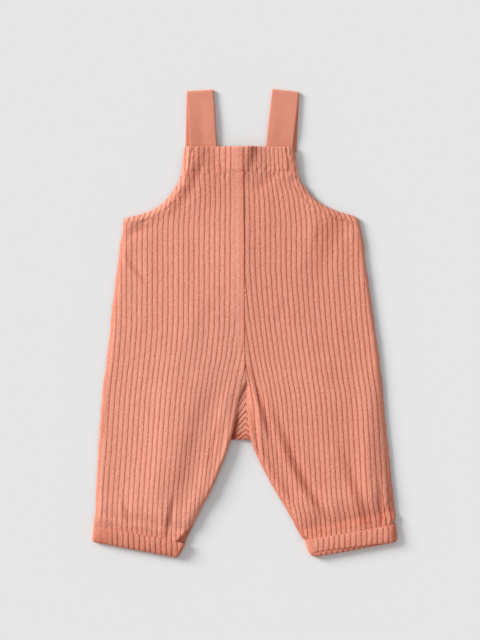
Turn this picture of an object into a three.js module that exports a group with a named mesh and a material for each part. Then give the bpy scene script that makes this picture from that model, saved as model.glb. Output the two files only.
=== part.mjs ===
// Toddler overalls in wide-wale corduroy, laid flat on their back.
// Millimetres. +X is to the right as seen from above, +Y runs from the leg hems to the
// shoulder straps, +Z is up from the surface that the garment lies on.
// The origin is at the middle of the garment's length and width, on that surface.
// Each half is described by its distance outward from the centre seam.
import * as THREE from 'three';

// Driving sizes of the garment
const SEAM_X = -2.75;
const BIB_TOP = 194;
const BACK_TOP = 188.5;
const FRONT_CROTCH = -67.8;
const BACK_CROTCH = -124;
const ARMPIT = 114.8;
const SEAM_GAP = 0.3;

// Driving sizes of the cloth
const WALE_PITCH = 5.7;
const WALE_HEIGHT = 0.9;
const CLOTH = 1.5;
const BACK_CLOTH = 1.8;
const EDGE_CLOTH = 0.9;
const EDGE_ROUND = 2.4;
const SHORT_SIDE_THREAD = 60;

// Threads are laid from beyond the chevron at the crotch to beyond the side seam
const FIRST_THREAD = -12;
const LAST_THREAD = 90;
const SHORTEST_THREAD = 2.5;
const CLOSEST_ROW = 1.2;
const BELOW_HEMS = -262;

// Net of the back: straight threads from the seam outward, then some that fan to the side
const BACK_INSET = 1;
const BACK_SPACING = 8.1;
const BACK_THREADS = 15;
const BACK_SIDE_THREADS = 3;

// Heights at which the layers lie
const FRONT_REST = BACK_CLOTH + SEAM_GAP;
const LEG_LIFT = 2.1;
const LOFT = 1.7;
const LOFT_REACH = 24;
const BIB_LIFT = 1.6;
const PLEAT_LIFT = 2.7;
const PLEAT_REACH = 17;

// Turned-up cuffs
const CUFF_WALL = 1.6;
const CUFF_RIBS = 17;
const CUFF_COVER = 17;
const CUFF_LEVEL = FRONT_REST + LEG_LIFT + CLOTH + SEAM_GAP;
const CUFF_MIDDLE = 4.15;
const CUFF_END_PLACES = [0, 0.8, 1.7, 2.3];
const CUFF_PLAIN_END = 3;

// Shoulder straps
const STRAP_WIDTH = 29.6;
const STRAP_CLOTH = 1.2;

// Side and armhole edge of each front half, outward from the centre seam
const SIDE_EDGE = [
  { y: 194, left: 62.8, right: 56.6 },
  { y: 177.5, left: 65.2, right: 59 },
  { y: 164.3, left: 67.5, right: 61.3 },
  { y: 157.7, left: 68.6, right: 62.6 },
  { y: 151.1, left: 72.6, right: 67.4 },
  { y: 144.5, left: 76.6, right: 72.3 },
  { y: 137.9, left: 81.8, right: 78.2 },
  { y: 131.3, left: 88.4, right: 86.8 },
  { y: 124.7, left: 98.3, right: 100.3 },
  { y: 120.6, left: 108, right: 111.5 },
  { y: 118.1, left: 116, right: 121 },
  { y: 114.8, left: 129.6, right: 126.8 },
  { y: 104.9, left: 130.6, right: 129.5 },
  { y: 91.7, left: 133, right: 132.3 },
  { y: 65.3, left: 136.8, right: 135.4 },
  { y: 38.9, left: 140.1, right: 139.4 },
  { y: 12.5, left: 143.2, right: 143 },
  { y: -13.9, left: 146, right: 147 },
  { y: -40.3, left: 149, right: 150.4 },
  { y: -66.7, left: 152.2, right: 153.5 },
  { y: -93.1, left: 155, right: 155.7 },
  { y: -119.5, left: 156.9, right: 158.3 },
  { y: -145.9, left: 158.7, right: 161.2 },
  { y: -172.3, left: 160, right: 163.8 },
  { y: -198.7, left: 161, right: 166.7 },
  { y: -215, left: 162, right: 168 },
  { y: -220, left: 160.2, right: 165 },
  { y: -260, left: 161.2, right: 164 },
];

// Inner edge of each leg, from where the pleat opens at the crotch down the inseam
const INNER_EDGE = [
  { y: -67.8, left: 0, right: 0 },
  { y: -84.3, left: 3.1, right: 2.9 },
  { y: -106.3, left: 7.5, right: 6.7 },
  { y: -125, left: 11.4, right: 9.6 },
  { y: -132.7, left: 13.6, right: 11 },
  { y: -145.9, left: 18, right: 16 },
  { y: -159.1, left: 23.5, right: 22.6 },
  { y: -172.3, left: 29, right: 29.4 },
  { y: -185.5, left: 35, right: 37 },
  { y: -198.7, left: 42, right: 44.8 },
  { y: -211.9, left: 49, right: 52.5 },
  { y: -225.1, left: 55.6, right: 59.9 },
  { y: -236, left: 61.1, right: 66.1 },
  { y: -239, left: 62.6, right: 72.2 },
  { y: -243, left: 67.2, right: 73.6 },
  { y: -260, left: 75.4, right: 79.2 },
];

// How far the wales lean outward below the waist, and how they lean over the bib
const WALE_LEAN = [
  { y: 200, left: 0, right: 0, leftBib: 0.03, rightBib: -0.2 },
  { y: 162, left: 0, right: 0, leftBib: 0.02, rightBib: -0.15 },
  { y: 130, left: 0, right: 0, leftBib: 0, rightBib: -0.05 },
  { y: 104, left: 0, right: 0, leftBib: 0, rightBib: 0 },
  { y: 26, left: 0, right: 0, leftBib: 0, rightBib: 0 },
  { y: -2, left: 0.9, right: 2.5, leftBib: 0, rightBib: 0 },
  { y: -29, left: 2.9, right: 5.3, leftBib: 0, rightBib: 0 },
  { y: -57, left: 5.7, right: 8.8, leftBib: 0, rightBib: 0 },
  { y: -84, left: 8.6, right: 12.6, leftBib: 0, rightBib: 0 },
  { y: -112, left: 10.9, right: 15.3, leftBib: 0, rightBib: 0 },
  { y: -139, left: 12.8, right: 17.2, leftBib: 0, rightBib: 0 },
  { y: -167, left: 14.3, right: 19, leftBib: 0, rightBib: 0 },
  { y: -194, left: 15.6, right: 21.4, leftBib: 0, rightBib: 0 },
  { y: -216, left: 16.6, right: 24.2, leftBib: 0, rightBib: 0 },
  { y: -260, left: 17.4, right: 27, leftBib: 0, rightBib: 0 },
];
const LEAN_AT_SEAM = { left: 1, right: 0.5 };
const LEAN_REACH = 36;

// Ends of the legs: the height of the hem at the side seam and at the inseam
const HEM = {
  left: { side: 161.8, sideY: -238.4, inner: 68.5, innerY: -256 },
  right: { side: 165, sideY: -236.4, inner: 72.5, innerY: -255.6 },
};

// Largest folds of the front, each a soft ridge or trough between two places
const FOLDS = [
  { half: 'left', o1: 12, y1: -70, o2: 50, y2: -172, width: 13, height: -1.1 },
  { half: 'left', o1: 50, y1: -172, o2: 80, y2: -222, width: 11, height: -1 },
  { half: 'left', o1: 34, y1: -95, o2: 74, y2: -205, width: 10, height: 0.9 },
  { half: 'left', o1: 36, y1: 172, o2: 62, y2: 146, width: 8, height: -0.5 },
  { half: 'left', o1: 118, y1: 60, o2: 128, y2: -110, width: 16, height: 0.5 },
  { half: 'right', o1: 10, y1: -58, o2: 48, y2: -140, width: 12, height: -1.1 },
  { half: 'right', o1: 48, y1: -140, o2: 86, y2: -196, width: 11, height: -0.9 },
  { half: 'right', o1: 104, y1: -112, o2: 136, y2: -208, width: 12, height: -0.8 },
  { half: 'right', o1: 124, y1: -100, o2: 144, y2: -196, width: 10, height: 0.9 },
  { half: 'right', o1: 9, y1: 198, o2: 12, y2: 168, width: 5, height: -0.5 },
];

// Cuffs, each drawn by its upper edge and its depth at the two ends
const CUFFS = {
  left: {
    inner: { o: 62.3, y: -242 },
    side: { o: 163.3, y: -221.8 },
    foldInner: { o: 70.5, y: -257.6 },
    foldSide: { o: 165.2, y: -239.9 },
  },
  right: {
    inner: { o: 68.4, y: -238.3 },
    side: { o: 168.6, y: -220.6 },
    foldInner: { o: 75, y: -257.6 },
    foldSide: { o: 170.6, y: -240 },
  },
};

// Straps: where the middle of each lies at the bib, at the shoulder fold and at the back
const STRAPS = {
  left: { bibX: -44, foldX: -49.1, backX: -50.7 },
  right: { bibX: 35.9, foldX: 44.9, backX: 42.1 },
};
const STRAP_TOP = 254.3;
const STRAP_TUCK = 20;
const STRAP_FOLD_RADIUS = 1.25;
const STRAP_BOW = 0.9;
const STRAP_FRONT_STEPS = 12;
const STRAP_FOLD_STEPS = 6;
const STRAP_BACK_STEPS = 8;

// Crotch ends of the front, folded in below the pleat with their wales in a chevron
const CROTCH = {
  top: -66,
  bottom: -127.6,
  halfWidth: 16.5,
  cloth: 1.3,
  ribHeight: 0.6,
  slope: 0.9,
};

// Colours of the two cloths
const CORDUROY = new THREE.MeshStandardMaterial({ color: 0xd98d77, roughness: 0.95, metalness: 0 });
const STRAP_TWILL = new THREE.MeshStandardMaterial({ color: 0xd98c76, roughness: 0.9, metalness: 0 });

const halves = { left: -1, right: 1 };
const clamp01 = (t) => Math.min(1, Math.max(0, t));
const smooth = (t) => clamp01(t) * clamp01(t) * (3 - 2 * clamp01(t));

// Value of a named column at a height, on a straight line between two rows
function readTable(table, y, column) {
  if (y >= table[0].y) return table[0][column];
  for (let i = 1; i < table.length; i += 1) {
    if (y >= table[i].y) {
      const above = table[i - 1];
      const share = (above.y - y) / (above.y - table[i].y);
      return above[column] + share * (table[i][column] - above[column]);
    }
  }
  return table[table.length - 1][column];
}

const innerEdge = (half, y) => Math.max(SEAM_GAP / 2, readTable(INNER_EDGE, y, half));
const sideEdge = (half, y) => readTable(SIDE_EDGE, y, half);

function hemHeight(half, o) {
  const hem = HEM[half];
  return hem.innerY + ((hem.sideY - hem.innerY) * (o - hem.inner)) / (hem.side - hem.inner);
}

// Line that one thread of the corduroy follows, named by its place at the chest
function alongWale(half, chest, y) {
  const lean = readTable(WALE_LEAN, y, half);
  const bib = readTable(WALE_LEAN, y, `${half}Bib`);
  const nearSeam = LEAN_AT_SEAM[half] * Math.exp(-Math.abs(chest) / LEAN_REACH);
  return chest + lean * (1 + nearSeam) + bib * (chest - SEAM_GAP / 2);
}

// Distance from a point to the line between two points of an edge
function distanceToSpan(o, y, a, b) {
  const along = { o: b.o - a.o, y: b.y - a.y };
  const length = along.o * along.o + along.y * along.y;
  const t = clamp01(((o - a.o) * along.o + (y - a.y) * along.y) / length);
  return Math.hypot(o - a.o - t * along.o, y - a.y - t * along.y);
}

// Distance from a point to the outline of its half, leaving out the centre seam and bib top
function distanceToOutline(half, o, y) {
  const side = SIDE_EDGE.map((row) => ({ o: row[half], y: row.y }));
  const inner = INNER_EDGE.map((row) => ({ o: row[half], y: row.y }));
  let nearest = Infinity;
  for (const edge of [side, inner]) {
    for (let i = 1; i < edge.length; i += 1) {
      nearest = Math.min(nearest, distanceToSpan(o, y, edge[i - 1], edge[i]));
    }
  }
  return nearest;
}

function foldHeight(half, o, y) {
  let height = 0;
  for (const fold of FOLDS.filter((row) => row.half === half)) {
    const a = { o: fold.o1, y: fold.y1 };
    const b = { o: fold.o2, y: fold.y2 };
    const away = distanceToSpan(o, y, a, b) / fold.width;
    height += fold.height * Math.exp(-away * away);
  }
  return height;
}

// How far the ends of the leg panels are lifted over the back of the cuff; the front rises
// a little sooner than the back that it lies on
function legLift(half, o, y, lead) {
  return LEG_LIFT * (1 - smooth((y - hemHeight(half, o) - 19 - lead) / 8));
}

// Underside of the front
function frontUnder(half, o, y) {
  const above = y - hemHeight(half, o);
  const away = distanceToOutline(half, o, y);
  const free = smooth((above - 19) / 45);
  const loft = LOFT * (1 - Math.exp(-((away / LOFT_REACH) ** 1.5)));
  const bib = BIB_LIFT * smooth((y - 128) / 34);
  const opening = smooth((-22 - y) / 40) * smooth((y + 172) / 40);
  const fromPleat = Math.max(0, o - innerEdge(half, y)) / PLEAT_REACH;
  const pleat = PLEAT_LIFT * opening * Math.exp(-fromPleat * fromPleat);
  const folds = foldHeight(half, o, y) * smooth(away / 14);
  const shape = Math.max(loft * (1 - smooth((y - 128) / 34)) + folds, 0);
  return FRONT_REST + legLift(half, o, y, 4) + free * shape + bib + pleat;
}

// Upper side of the front: wales, the flat topstitched seam beside the centre, thin edges
function frontOver(half, o, y, inWale) {
  const under = frontUnder(half, o, y);
  const away = distanceToOutline(half, o, y);
  const fromHem = y - hemHeight(half, o);
  const fromTop = BIB_TOP - y;
  const nearEdge = smooth(Math.min(away, fromTop + 1) / EDGE_ROUND);
  const cloth = EDGE_CLOTH + (CLOTH - EDGE_CLOTH) * nearEdge;
  const onSeamBand = half === 'left' && o < 2 * WALE_PITCH && y > FRONT_CROTCH;
  const seamBand = onSeamBand ? 0.8 * smooth((2 * WALE_PITCH - o) / 2) : 0;
  const seamDip = half === 'right' ? 0.5 * (1 - smooth(o / 2)) : 0;
  const underCuff = smooth((fromHem - CUFF_COVER) / 2);
  const wale = WALE_HEIGHT * inWale * (onSeamBand ? 0.25 : 1);
  return under + cloth + underCuff * (wale * nearEdge + seamBand - seamDip);
}

// Rows across a half: heights on the garment, then heights above the slanting hem
const FRONT_ROWS = [194, 189, 168, 146, 122, 98, 62, 26, -8, -38, -64, -88, -108, -128, -152, -178];
const BACK_ROWS = [188.5, 146, 122, 98, 26, -64, -128, -178];
const HEM_ROWS = [44, 27, 23, 19, 17, 0];

function rowHeights(rows, half, o) {
  return [...rows, ...HEM_ROWS.map((above) => hemHeight(half, o) + above)];
}

// Heights between which a thread lies on the panel
function threadEnds(isInside, top, bottom) {
  const step = 0.5;
  const crossing = (inY, outY) => {
    let inside = inY;
    let outside = outY;
    for (let i = 0; i < 20; i += 1) {
      const middle = (inside + outside) / 2;
      if (isInside(middle)) inside = middle;
      else outside = middle;
    }
    return inside;
  };
  let first = null;
  let last = null;
  for (let y = top; y >= bottom; y -= step) {
    if (isInside(y)) {
      if (first === null) first = y;
      last = y;
    }
  }
  if (first === null) return null;
  return {
    top: first === top ? top : crossing(first, first + step),
    bottom: crossing(last, last - step),
  };
}

// Flat net of a piece: threads side by side, tied at their rows, cut off at the outline
function layNet(threads) {
  const points = [];
  const index = new Map();
  const pointAt = (thread, along) => {
    const key = `${thread.name}:${along.toFixed(4)}`;
    if (!index.has(key)) {
      index.set(key, points.length);
      points.push({ key, thread, along, ...thread.place(along) });
    }
    return index.get(key);
  };
  const ties = threads.map((thread) => thread.rows.map((along) => {
    if (along > thread.top - CLOSEST_ROW) return pointAt(thread, thread.top);
    if (along < thread.bottom + CLOSEST_ROW) return pointAt(thread, thread.bottom);
    return pointAt(thread, along);
  }));
  const triangles = [];
  const add = (a, b, c) => {
    const [p, q, r] = [points[a], points[b], points[c]];
    const area = (q.x - p.x) * (r.y - p.y) - (q.y - p.y) * (r.x - p.x);
    if (Math.abs(area) < 1e-3) return;
    triangles.push(area > 0 ? [a, b, c] : [a, c, b]);
  };
  for (let i = 0; i + 1 < ties.length; i += 1) {
    for (let row = 0; row + 1 < ties[i].length; row += 1) {
      add(ties[i][row], ties[i + 1][row], ties[i + 1][row + 1]);
      add(ties[i][row], ties[i + 1][row + 1], ties[i][row + 1]);
    }
  }
  return { points, triangles };
}

// Edges of a net that only one triangle has, as a walk round its border
function borderOf(net) {
  const next = new Map();
  const all = new Set();
  for (const [a, b, c] of net.triangles) {
    all.add(`${a}>${b}`);
    all.add(`${b}>${c}`);
    all.add(`${c}>${a}`);
  }
  for (const edge of all) {
    const [a, b] = edge.split('>').map(Number);
    if (!all.has(`${b}>${a}`)) next.set(a, b);
  }
  return next;
}

// Closed wall of cloth: a fine net over a plainer one, joined round the border
function clothWall(threads) {
  const over = layNet(threads);
  const under = layNet(threads.filter((thread) => thread.plain));
  const positions = [];
  const faces = [];
  for (const p of over.points) positions.push(p.x, p.y, p.thread.over(p.along));
  const base = over.points.length;
  for (const p of under.points) positions.push(p.x, p.y, p.thread.under(p.along));
  for (const [a, b, c] of over.triangles) faces.push(a, b, c);
  for (const [a, b, c] of under.triangles) faces.push(base + a, base + c, base + b);
  const overIndex = new Map(over.points.map((p, i) => [p.key, i]));
  const overNext = borderOf(over);
  for (const [a, b] of borderOf(under)) {
    const walk = [overIndex.get(under.points[a].key)];
    const end = overIndex.get(under.points[b].key);
    while (walk[walk.length - 1] !== end) {
      const step = overNext.get(walk[walk.length - 1]);
      if (step === undefined) throw new Error(`the border is lost at ${under.points[a].key}`);
      walk.push(step);
    }
    const middle = Math.ceil((walk.length - 1) / 2);
    faces.push(base + a, base + b, walk[middle]);
    for (let k = 0; k < middle; k += 1) faces.push(base + a, walk[k + 1], walk[k]);
    for (let k = middle; k + 1 < walk.length; k += 1) faces.push(base + b, walk[k + 1], walk[k]);
  }
  const geometry = new THREE.BufferGeometry();
  geometry.setAttribute('position', new THREE.Float32BufferAttribute(positions, 3));
  geometry.setIndex(faces);
  return geometry;
}

function named(name, geometry, material) {
  geometry.computeVertexNormals();
  const mesh = new THREE.Mesh(geometry, material);
  mesh.name = name;
  return mesh;
}

// Front half: three threads to a wale, one in the groove and two on its shoulders
function makeFront(half) {
  const side = halves[half];
  const threads = [];
  for (let i = FIRST_THREAD; i < LAST_THREAD; i += 1) {
    const chest = SEAM_GAP / 2 + (i * WALE_PITCH) / 3;
    const inWale = i % 3 === 0 ? 0 : 1;
    const isInside = (y) => {
      const o = alongWale(half, chest, y);
      const inPanel = o >= innerEdge(half, y) - 1e-6 && o <= sideEdge(half, y);
      return inPanel && y >= hemHeight(half, o);
    };
    const ends = threadEnds(isInside, BIB_TOP, BELOW_HEMS);
    const shortest = chest > SHORT_SIDE_THREAD ? SHORT_SIDE_THREAD : SHORTEST_THREAD;
    if (ends && ends.top - ends.bottom > shortest) {
      const outward = (y) => alongWale(half, chest, y);
      threads.push({
        name: `${i}`,
        plain: i % 3 === 0,
        ...ends,
        rows: rowHeights(FRONT_ROWS, half, outward(ends.bottom)),
        place: (y) => ({ x: SEAM_X + side * outward(y), y }),
        over: (y) => frontOver(half, outward(y), y, inWale),
        under: (y) => frontUnder(half, outward(y), y),
      });
    }
  }
  threads[0].plain = true;
  threads[threads.length - 1].plain = true;
  return named(`front_${half}`, clothWall(threads), CORDUROY);
}

// Back half: it lies flat on the surface, and its leg end rests on the back of the cuff
function makeBack(half) {
  const side = halves[half];
  const threads = [];
  for (let i = 0; i <= BACK_THREADS + BACK_SIDE_THREADS; i += 1) {
    const straight = SEAM_GAP / 2 + Math.min(i, BACK_THREADS) * BACK_SPACING;
    const fan = Math.max(0, i - BACK_THREADS) / BACK_SIDE_THREADS;
    const outward = (y) => {
      const seamSide = sideEdge(half, Math.min(y, ARMPIT)) - BACK_INSET;
      return straight + fan * (seamSide - straight);
    };
    const isInside = (y) => {
      const o = outward(y);
      const inner = y < BACK_CROTCH ? innerEdge(half, y) + BACK_INSET : 0;
      const inPanel = o >= inner && o <= sideEdge(half, y) - BACK_INSET + 1e-6;
      return inPanel && y >= hemHeight(half, o);
    };
    const ends = threadEnds(isInside, BACK_TOP, BELOW_HEMS);
    threads.push({
      name: `${i}`,
      plain: true,
      ...ends,
      rows: rowHeights(BACK_ROWS, half, outward(ends.bottom)),
      place: (y) => ({ x: SEAM_X + side * outward(y), y }),
      over: (y) => legLift(half, outward(y), y, 0) + BACK_CLOTH,
      under: (y) => legLift(half, outward(y), y, 0),
    });
  }
  return named(`back_${half}`, clothWall(threads), CORDUROY);
}

// Folded crotch ends: the threads run down and the wales cross them in a chevron
function makeCrotch() {
  const middle = SEAM_X - 0.8;
  const halfWidthAt = (y) => (CROTCH.halfWidth * (CROTCH.top - y)) / (CROTCH.top - CROTCH.bottom);
  const rise = WALE_PITCH / 3;
  const threads = [];
  for (let i = -8; i <= 8; i += 1) {
    const across = (i * CROTCH.halfWidth * 0.98) / 8;
    const drop = CROTCH.slope * Math.abs(across);
    const topY = CROTCH.top - ((CROTCH.top - CROTCH.bottom) * Math.abs(across)) / CROTCH.halfWidth;
    const rows = [];
    for (let k = -10; k < 60; k += 1) rows.push(CROTCH.top + 12 - k * rise);
    const inWale = (v) => (Math.round((CROTCH.top + 12 - v) / rise) % 3 === 0 ? 0 : 1);
    const edge = (v) => smooth((halfWidthAt(v - drop) - Math.abs(across)) / 2 + 0.2);
    threads.push({
      name: `${i}`,
      plain: true,
      top: topY + drop - 0.6,
      bottom: CROTCH.bottom + drop,
      rows,
      place: (v) => ({ x: middle + across, y: v - drop }),
      over: (v) => FRONT_REST + CROTCH.cloth + CROTCH.ribHeight * inWale(v) * edge(v),
      under: () => FRONT_REST,
    });
  }
  return named('crotch_fold', clothWall(threads), CORDUROY);
}

// Wall of a cuff: it closes round the leg at both ends, its lower edge is a rounded fold
function makeCuff(half, face) {
  const side = halves[half];
  const cuff = CUFFS[half];
  const length = Math.hypot(cuff.side.o - cuff.inner.o, cuff.side.y - cuff.inner.y);
  const isFront = face === 'front';
  const pitch = (length - 2 * CUFF_PLAIN_END) / CUFF_RIBS;
  const places = [...CUFF_END_PLACES];
  for (let i = 0; i <= CUFF_RIBS * 3; i += 1) places.push(CUFF_PLAIN_END + (i * pitch) / 3);
  for (const place of [...CUFF_END_PLACES].reverse()) places.push(length - place);
  const endRise = isFront ? CUFF_LEVEL - CUFF_MIDDLE - SEAM_GAP / 2 : CUFF_MIDDLE - SEAM_GAP / 2;
  const threads = places.map((a, i) => {
    const t = a / length;
    const fromEnd = Math.min(a, length - a);
    const firstRib = CUFF_END_PLACES.length;
    const isRibbed = i > firstRib && i < places.length - 1 - firstRib;
    const rib = isRibbed && (i - firstRib) % 3 !== 0 ? 1 : 0;
    const upper = {
      o: cuff.inner.o + t * (cuff.side.o - cuff.inner.o),
      y: cuff.inner.y + t * (cuff.side.y - cuff.inner.y),
    };
    const lower = {
      o: cuff.foldInner.o + t * (cuff.foldSide.o - cuff.foldInner.o),
      y: cuff.foldInner.y + t * (cuff.foldSide.y - cuff.foldInner.y),
    };
    const innerDrop = fromEnd < 2 ? 1 : 0;
    const outerDrop = 1 - smooth(fromEnd / 2.6);
    const depth = Math.hypot(upper.o - lower.o, upper.y - lower.y);
    const atEdge = (down) => (down > -0.1 || down < 0.1 - depth ? 1 : 0);
    const shapes = isFront
      ? {
          under: () => CUFF_LEVEL - endRise * innerDrop,
          over: (down) => CUFF_LEVEL + CUFF_WALL - (endRise + CUFF_WALL - 0.7) * outerDrop
            + (1 - atEdge(down)) * WALE_HEIGHT * rib - 0.7 * atEdge(down) * (1 - outerDrop),
        }
      : {
          under: () => 0,
          over: () => CUFF_WALL + (endRise - CUFF_WALL) * innerDrop,
        };
    return {
      name: `${i}`,
      plain: rib === 0,
      top: 0,
      bottom: -depth,
      rows: [0, -1.8, -0.5 * depth, 2 - depth, -depth],
      place: (down) => ({
        x: SEAM_X + side * (upper.o - (down / depth) * (lower.o - upper.o)),
        y: upper.y - (down / depth) * (lower.y - upper.y),
      }),
      ...shapes,
    };
  });
  const used = isFront ? threads : threads.filter((thread) => thread.plain);
  return named(`cuff_${face}_${half}`, clothWall(used), CORDUROY);
}

// Strap: one ribbon from inside the bib, folded over at the shoulder, to the back's top
function makeStrap(half) {
  const strap = STRAPS[half];
  const low = FRONT_REST + STRAP_CLOTH / 2;
  const under = STRAP_CLOTH / 2;
  const high = under + 2 * STRAP_FOLD_RADIUS;
  const bibY = BIB_TOP - STRAP_TUCK;
  const backY = BACK_TOP + SEAM_GAP;
  const stations = [];
  for (let i = 0; i <= STRAP_FRONT_STEPS; i += 1) {
    const t = i / STRAP_FRONT_STEPS;
    const bow = STRAP_BOW * Math.sin(Math.PI * t) ** 2;
    stations.push({
      x: strap.bibX + t * (strap.foldX - strap.bibX),
      y: bibY + t * (STRAP_TOP - bibY),
      z: low + t * (high - low) + bow * smooth((t - 0.2) / 0.3),
      turn: 0,
    });
  }
  for (let i = 1; i < STRAP_FOLD_STEPS; i += 1) {
    const turn = (Math.PI * i) / STRAP_FOLD_STEPS;
    stations.push({
      x: strap.foldX,
      y: STRAP_TOP + STRAP_FOLD_RADIUS * Math.sin(turn),
      z: under + STRAP_FOLD_RADIUS * (1 + Math.cos(turn)),
      turn,
    });
  }
  for (let i = 0; i <= STRAP_BACK_STEPS; i += 1) {
    const t = i / STRAP_BACK_STEPS;
    stations.push({
      x: strap.foldX + t * (strap.backX - strap.foldX),
      y: STRAP_TOP + t * (backY - STRAP_TOP),
      z: under,
      turn: Math.PI,
    });
  }
  const tilt = (strap.foldX - strap.bibX) / (STRAP_TOP - bibY);
  const edge = STRAP_WIDTH / 2;
  const section = [
    { across: -edge, out: -0.3 },
    { across: -edge + 1, out: -0.5 },
    { across: edge - 1, out: -0.5 },
    { across: edge, out: -0.3 },
    { across: edge, out: 0.3 },
    { across: edge - 1, out: 0.5 },
    { across: -edge + 1, out: 0.5 },
    { across: -edge, out: 0.3 },
  ];
  const positions = [];
  const faces = [];
  stations.forEach((station) => {
    for (const corner of section) {
      const away = corner.out * STRAP_CLOTH;
      const skew = station.turn === Math.PI ? 0 : tilt;
      positions.push(
        station.x + corner.across,
        station.y - skew * corner.across + away * Math.sin(station.turn),
        station.z + away * Math.cos(station.turn),
      );
    }
  });
  const ring = section.length;
  for (let s = 0; s + 1 < stations.length; s += 1) {
    for (let k = 0; k < ring; k += 1) {
      const a = s * ring + k;
      const b = s * ring + ((k + 1) % ring);
      faces.push(a, b + ring, b, a, a + ring, b + ring);
    }
  }
  const end = (stations.length - 1) * ring;
  for (let k = 1; k + 1 < ring; k += 1) {
    faces.push(0, k, k + 1);
    faces.push(end, end + k + 1, end + k);
  }
  const geometry = new THREE.BufferGeometry();
  geometry.setAttribute('position', new THREE.Float32BufferAttribute(positions, 3));
  geometry.setIndex(faces);
  return named(`strap_${half}`, geometry, STRAP_TWILL);
}

const overalls = new THREE.Group();
for (const half of ['left', 'right']) {
  overalls.add(makeFront(half), makeBack(half), makeStrap(half));
  overalls.add(makeCuff(half, 'front'), makeCuff(half, 'back'));
}
overalls.add(makeCrotch());

export default overalls;
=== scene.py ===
"""Toddler overalls in wide-wale corduroy, laid flat on their back and seen from above.

Lengths are millimetres until a mesh is placed. Each half of the garment is described by the
distance outward from the centre seam and by the height along the garment.
"""
import math

import bmesh
import bpy
import numpy as np
from mathutils import Matrix, Vector


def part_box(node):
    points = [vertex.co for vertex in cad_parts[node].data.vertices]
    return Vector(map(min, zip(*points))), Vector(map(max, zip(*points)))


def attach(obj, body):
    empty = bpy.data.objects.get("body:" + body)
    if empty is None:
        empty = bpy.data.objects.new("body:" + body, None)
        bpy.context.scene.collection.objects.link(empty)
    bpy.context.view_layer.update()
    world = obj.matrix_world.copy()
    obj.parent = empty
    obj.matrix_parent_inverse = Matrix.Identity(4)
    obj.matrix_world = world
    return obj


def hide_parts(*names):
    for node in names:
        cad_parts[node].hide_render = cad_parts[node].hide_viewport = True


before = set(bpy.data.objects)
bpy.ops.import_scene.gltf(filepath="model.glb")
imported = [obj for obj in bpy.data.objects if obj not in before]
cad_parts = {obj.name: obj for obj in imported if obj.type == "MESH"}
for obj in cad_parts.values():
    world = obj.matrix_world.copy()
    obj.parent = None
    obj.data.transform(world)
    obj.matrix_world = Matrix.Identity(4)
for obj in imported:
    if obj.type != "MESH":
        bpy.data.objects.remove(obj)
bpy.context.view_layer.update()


# Back halves: one layer of wide-wale corduroy each, cut by the same pattern as the fronts and
# laid pile side down, with the ribs pressed flat. The hem is lifted, because the turned-up
# cuff passes under it, and the edges roll up a little to the front that they are sewn to.
MM = 0.001
SIDES = {"left": -1, "right": 1}
SEAM_X = -2.75
SEAM_GAP = 0.3
BIB_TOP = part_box("front_left")[1][1] / MM
BACK_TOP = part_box("back_left")[1][1] / MM
ARMPIT = 114.8
CROTCH_TOP = -67.8
BACK_CROTCH = -124.0
PATTERN_END = -262.0
PATTERN_STEP = 1.2
# Distance of the armhole and the side seam from the centre seam, down from the bib
SIDE_EDGE = [
    {"y": 194.0, "left": 62.8, "right": 56.6},
    {"y": 177.5, "left": 65.2, "right": 59.0},
    {"y": 164.3, "left": 67.5, "right": 61.3},
    {"y": 157.7, "left": 68.6, "right": 62.6},
    {"y": 151.1, "left": 72.6, "right": 67.4},
    {"y": 144.5, "left": 76.6, "right": 72.3},
    {"y": 137.9, "left": 81.8, "right": 78.2},
    {"y": 131.3, "left": 88.4, "right": 86.8},
    {"y": 124.7, "left": 98.3, "right": 100.3},
    {"y": 120.6, "left": 108.0, "right": 111.5},
    {"y": 118.1, "left": 116.0, "right": 121.0},
    {"y": 114.8, "left": 129.6, "right": 126.8},
    {"y": 104.9, "left": 130.6, "right": 129.5},
    {"y": 91.7, "left": 133.0, "right": 132.3},
    {"y": 65.3, "left": 136.8, "right": 135.4},
    {"y": 38.9, "left": 140.1, "right": 139.4},
    {"y": 12.5, "left": 143.2, "right": 143.0},
    {"y": -13.9, "left": 146.0, "right": 147.0},
    {"y": -40.3, "left": 149.0, "right": 150.4},
    {"y": -66.7, "left": 152.2, "right": 153.5},
    {"y": -93.1, "left": 155.0, "right": 155.7},
    {"y": -119.5, "left": 156.9, "right": 158.3},
    {"y": -145.9, "left": 158.7, "right": 161.2},
    {"y": -172.3, "left": 160.0, "right": 163.8},
    {"y": -198.7, "left": 161.0, "right": 166.7},
    {"y": -215.0, "left": 162.0, "right": 168.0},
    {"y": -220.0, "left": 162.6, "right": 165.8},
    {"y": -262.0, "left": 162.6, "right": 165.0},
]
# The same for the inner edge of each leg, down from the crotch, where the halves may overlap
INNER_EDGE = [
    {"y": -67.8, "left": -3.4, "right": 3.4},
    {"y": -75.0, "left": -0.4, "right": 3.8},
    {"y": -84.3, "left": 3.1, "right": 4.6},
    {"y": -106.3, "left": 7.5, "right": 6.3},
    {"y": -125.0, "left": 11.4, "right": 8.4},
    {"y": -132.7, "left": 13.6, "right": 10.2},
    {"y": -145.9, "left": 18.0, "right": 16.0},
    {"y": -159.1, "left": 23.5, "right": 22.6},
    {"y": -172.3, "left": 29.0, "right": 29.4},
    {"y": -185.5, "left": 35.0, "right": 37.0},
    {"y": -198.7, "left": 42.0, "right": 44.8},
    {"y": -211.9, "left": 49.0, "right": 52.5},
    {"y": -225.1, "left": 55.6, "right": 59.9},
    {"y": -236.0, "left": 61.1, "right": 66.1},
    {"y": -239.0, "left": 62.6, "right": 72.2},
    {"y": -243.0, "left": 67.2, "right": 73.6},
    {"y": -262.0, "left": 76.0, "right": 79.6},
]
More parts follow.
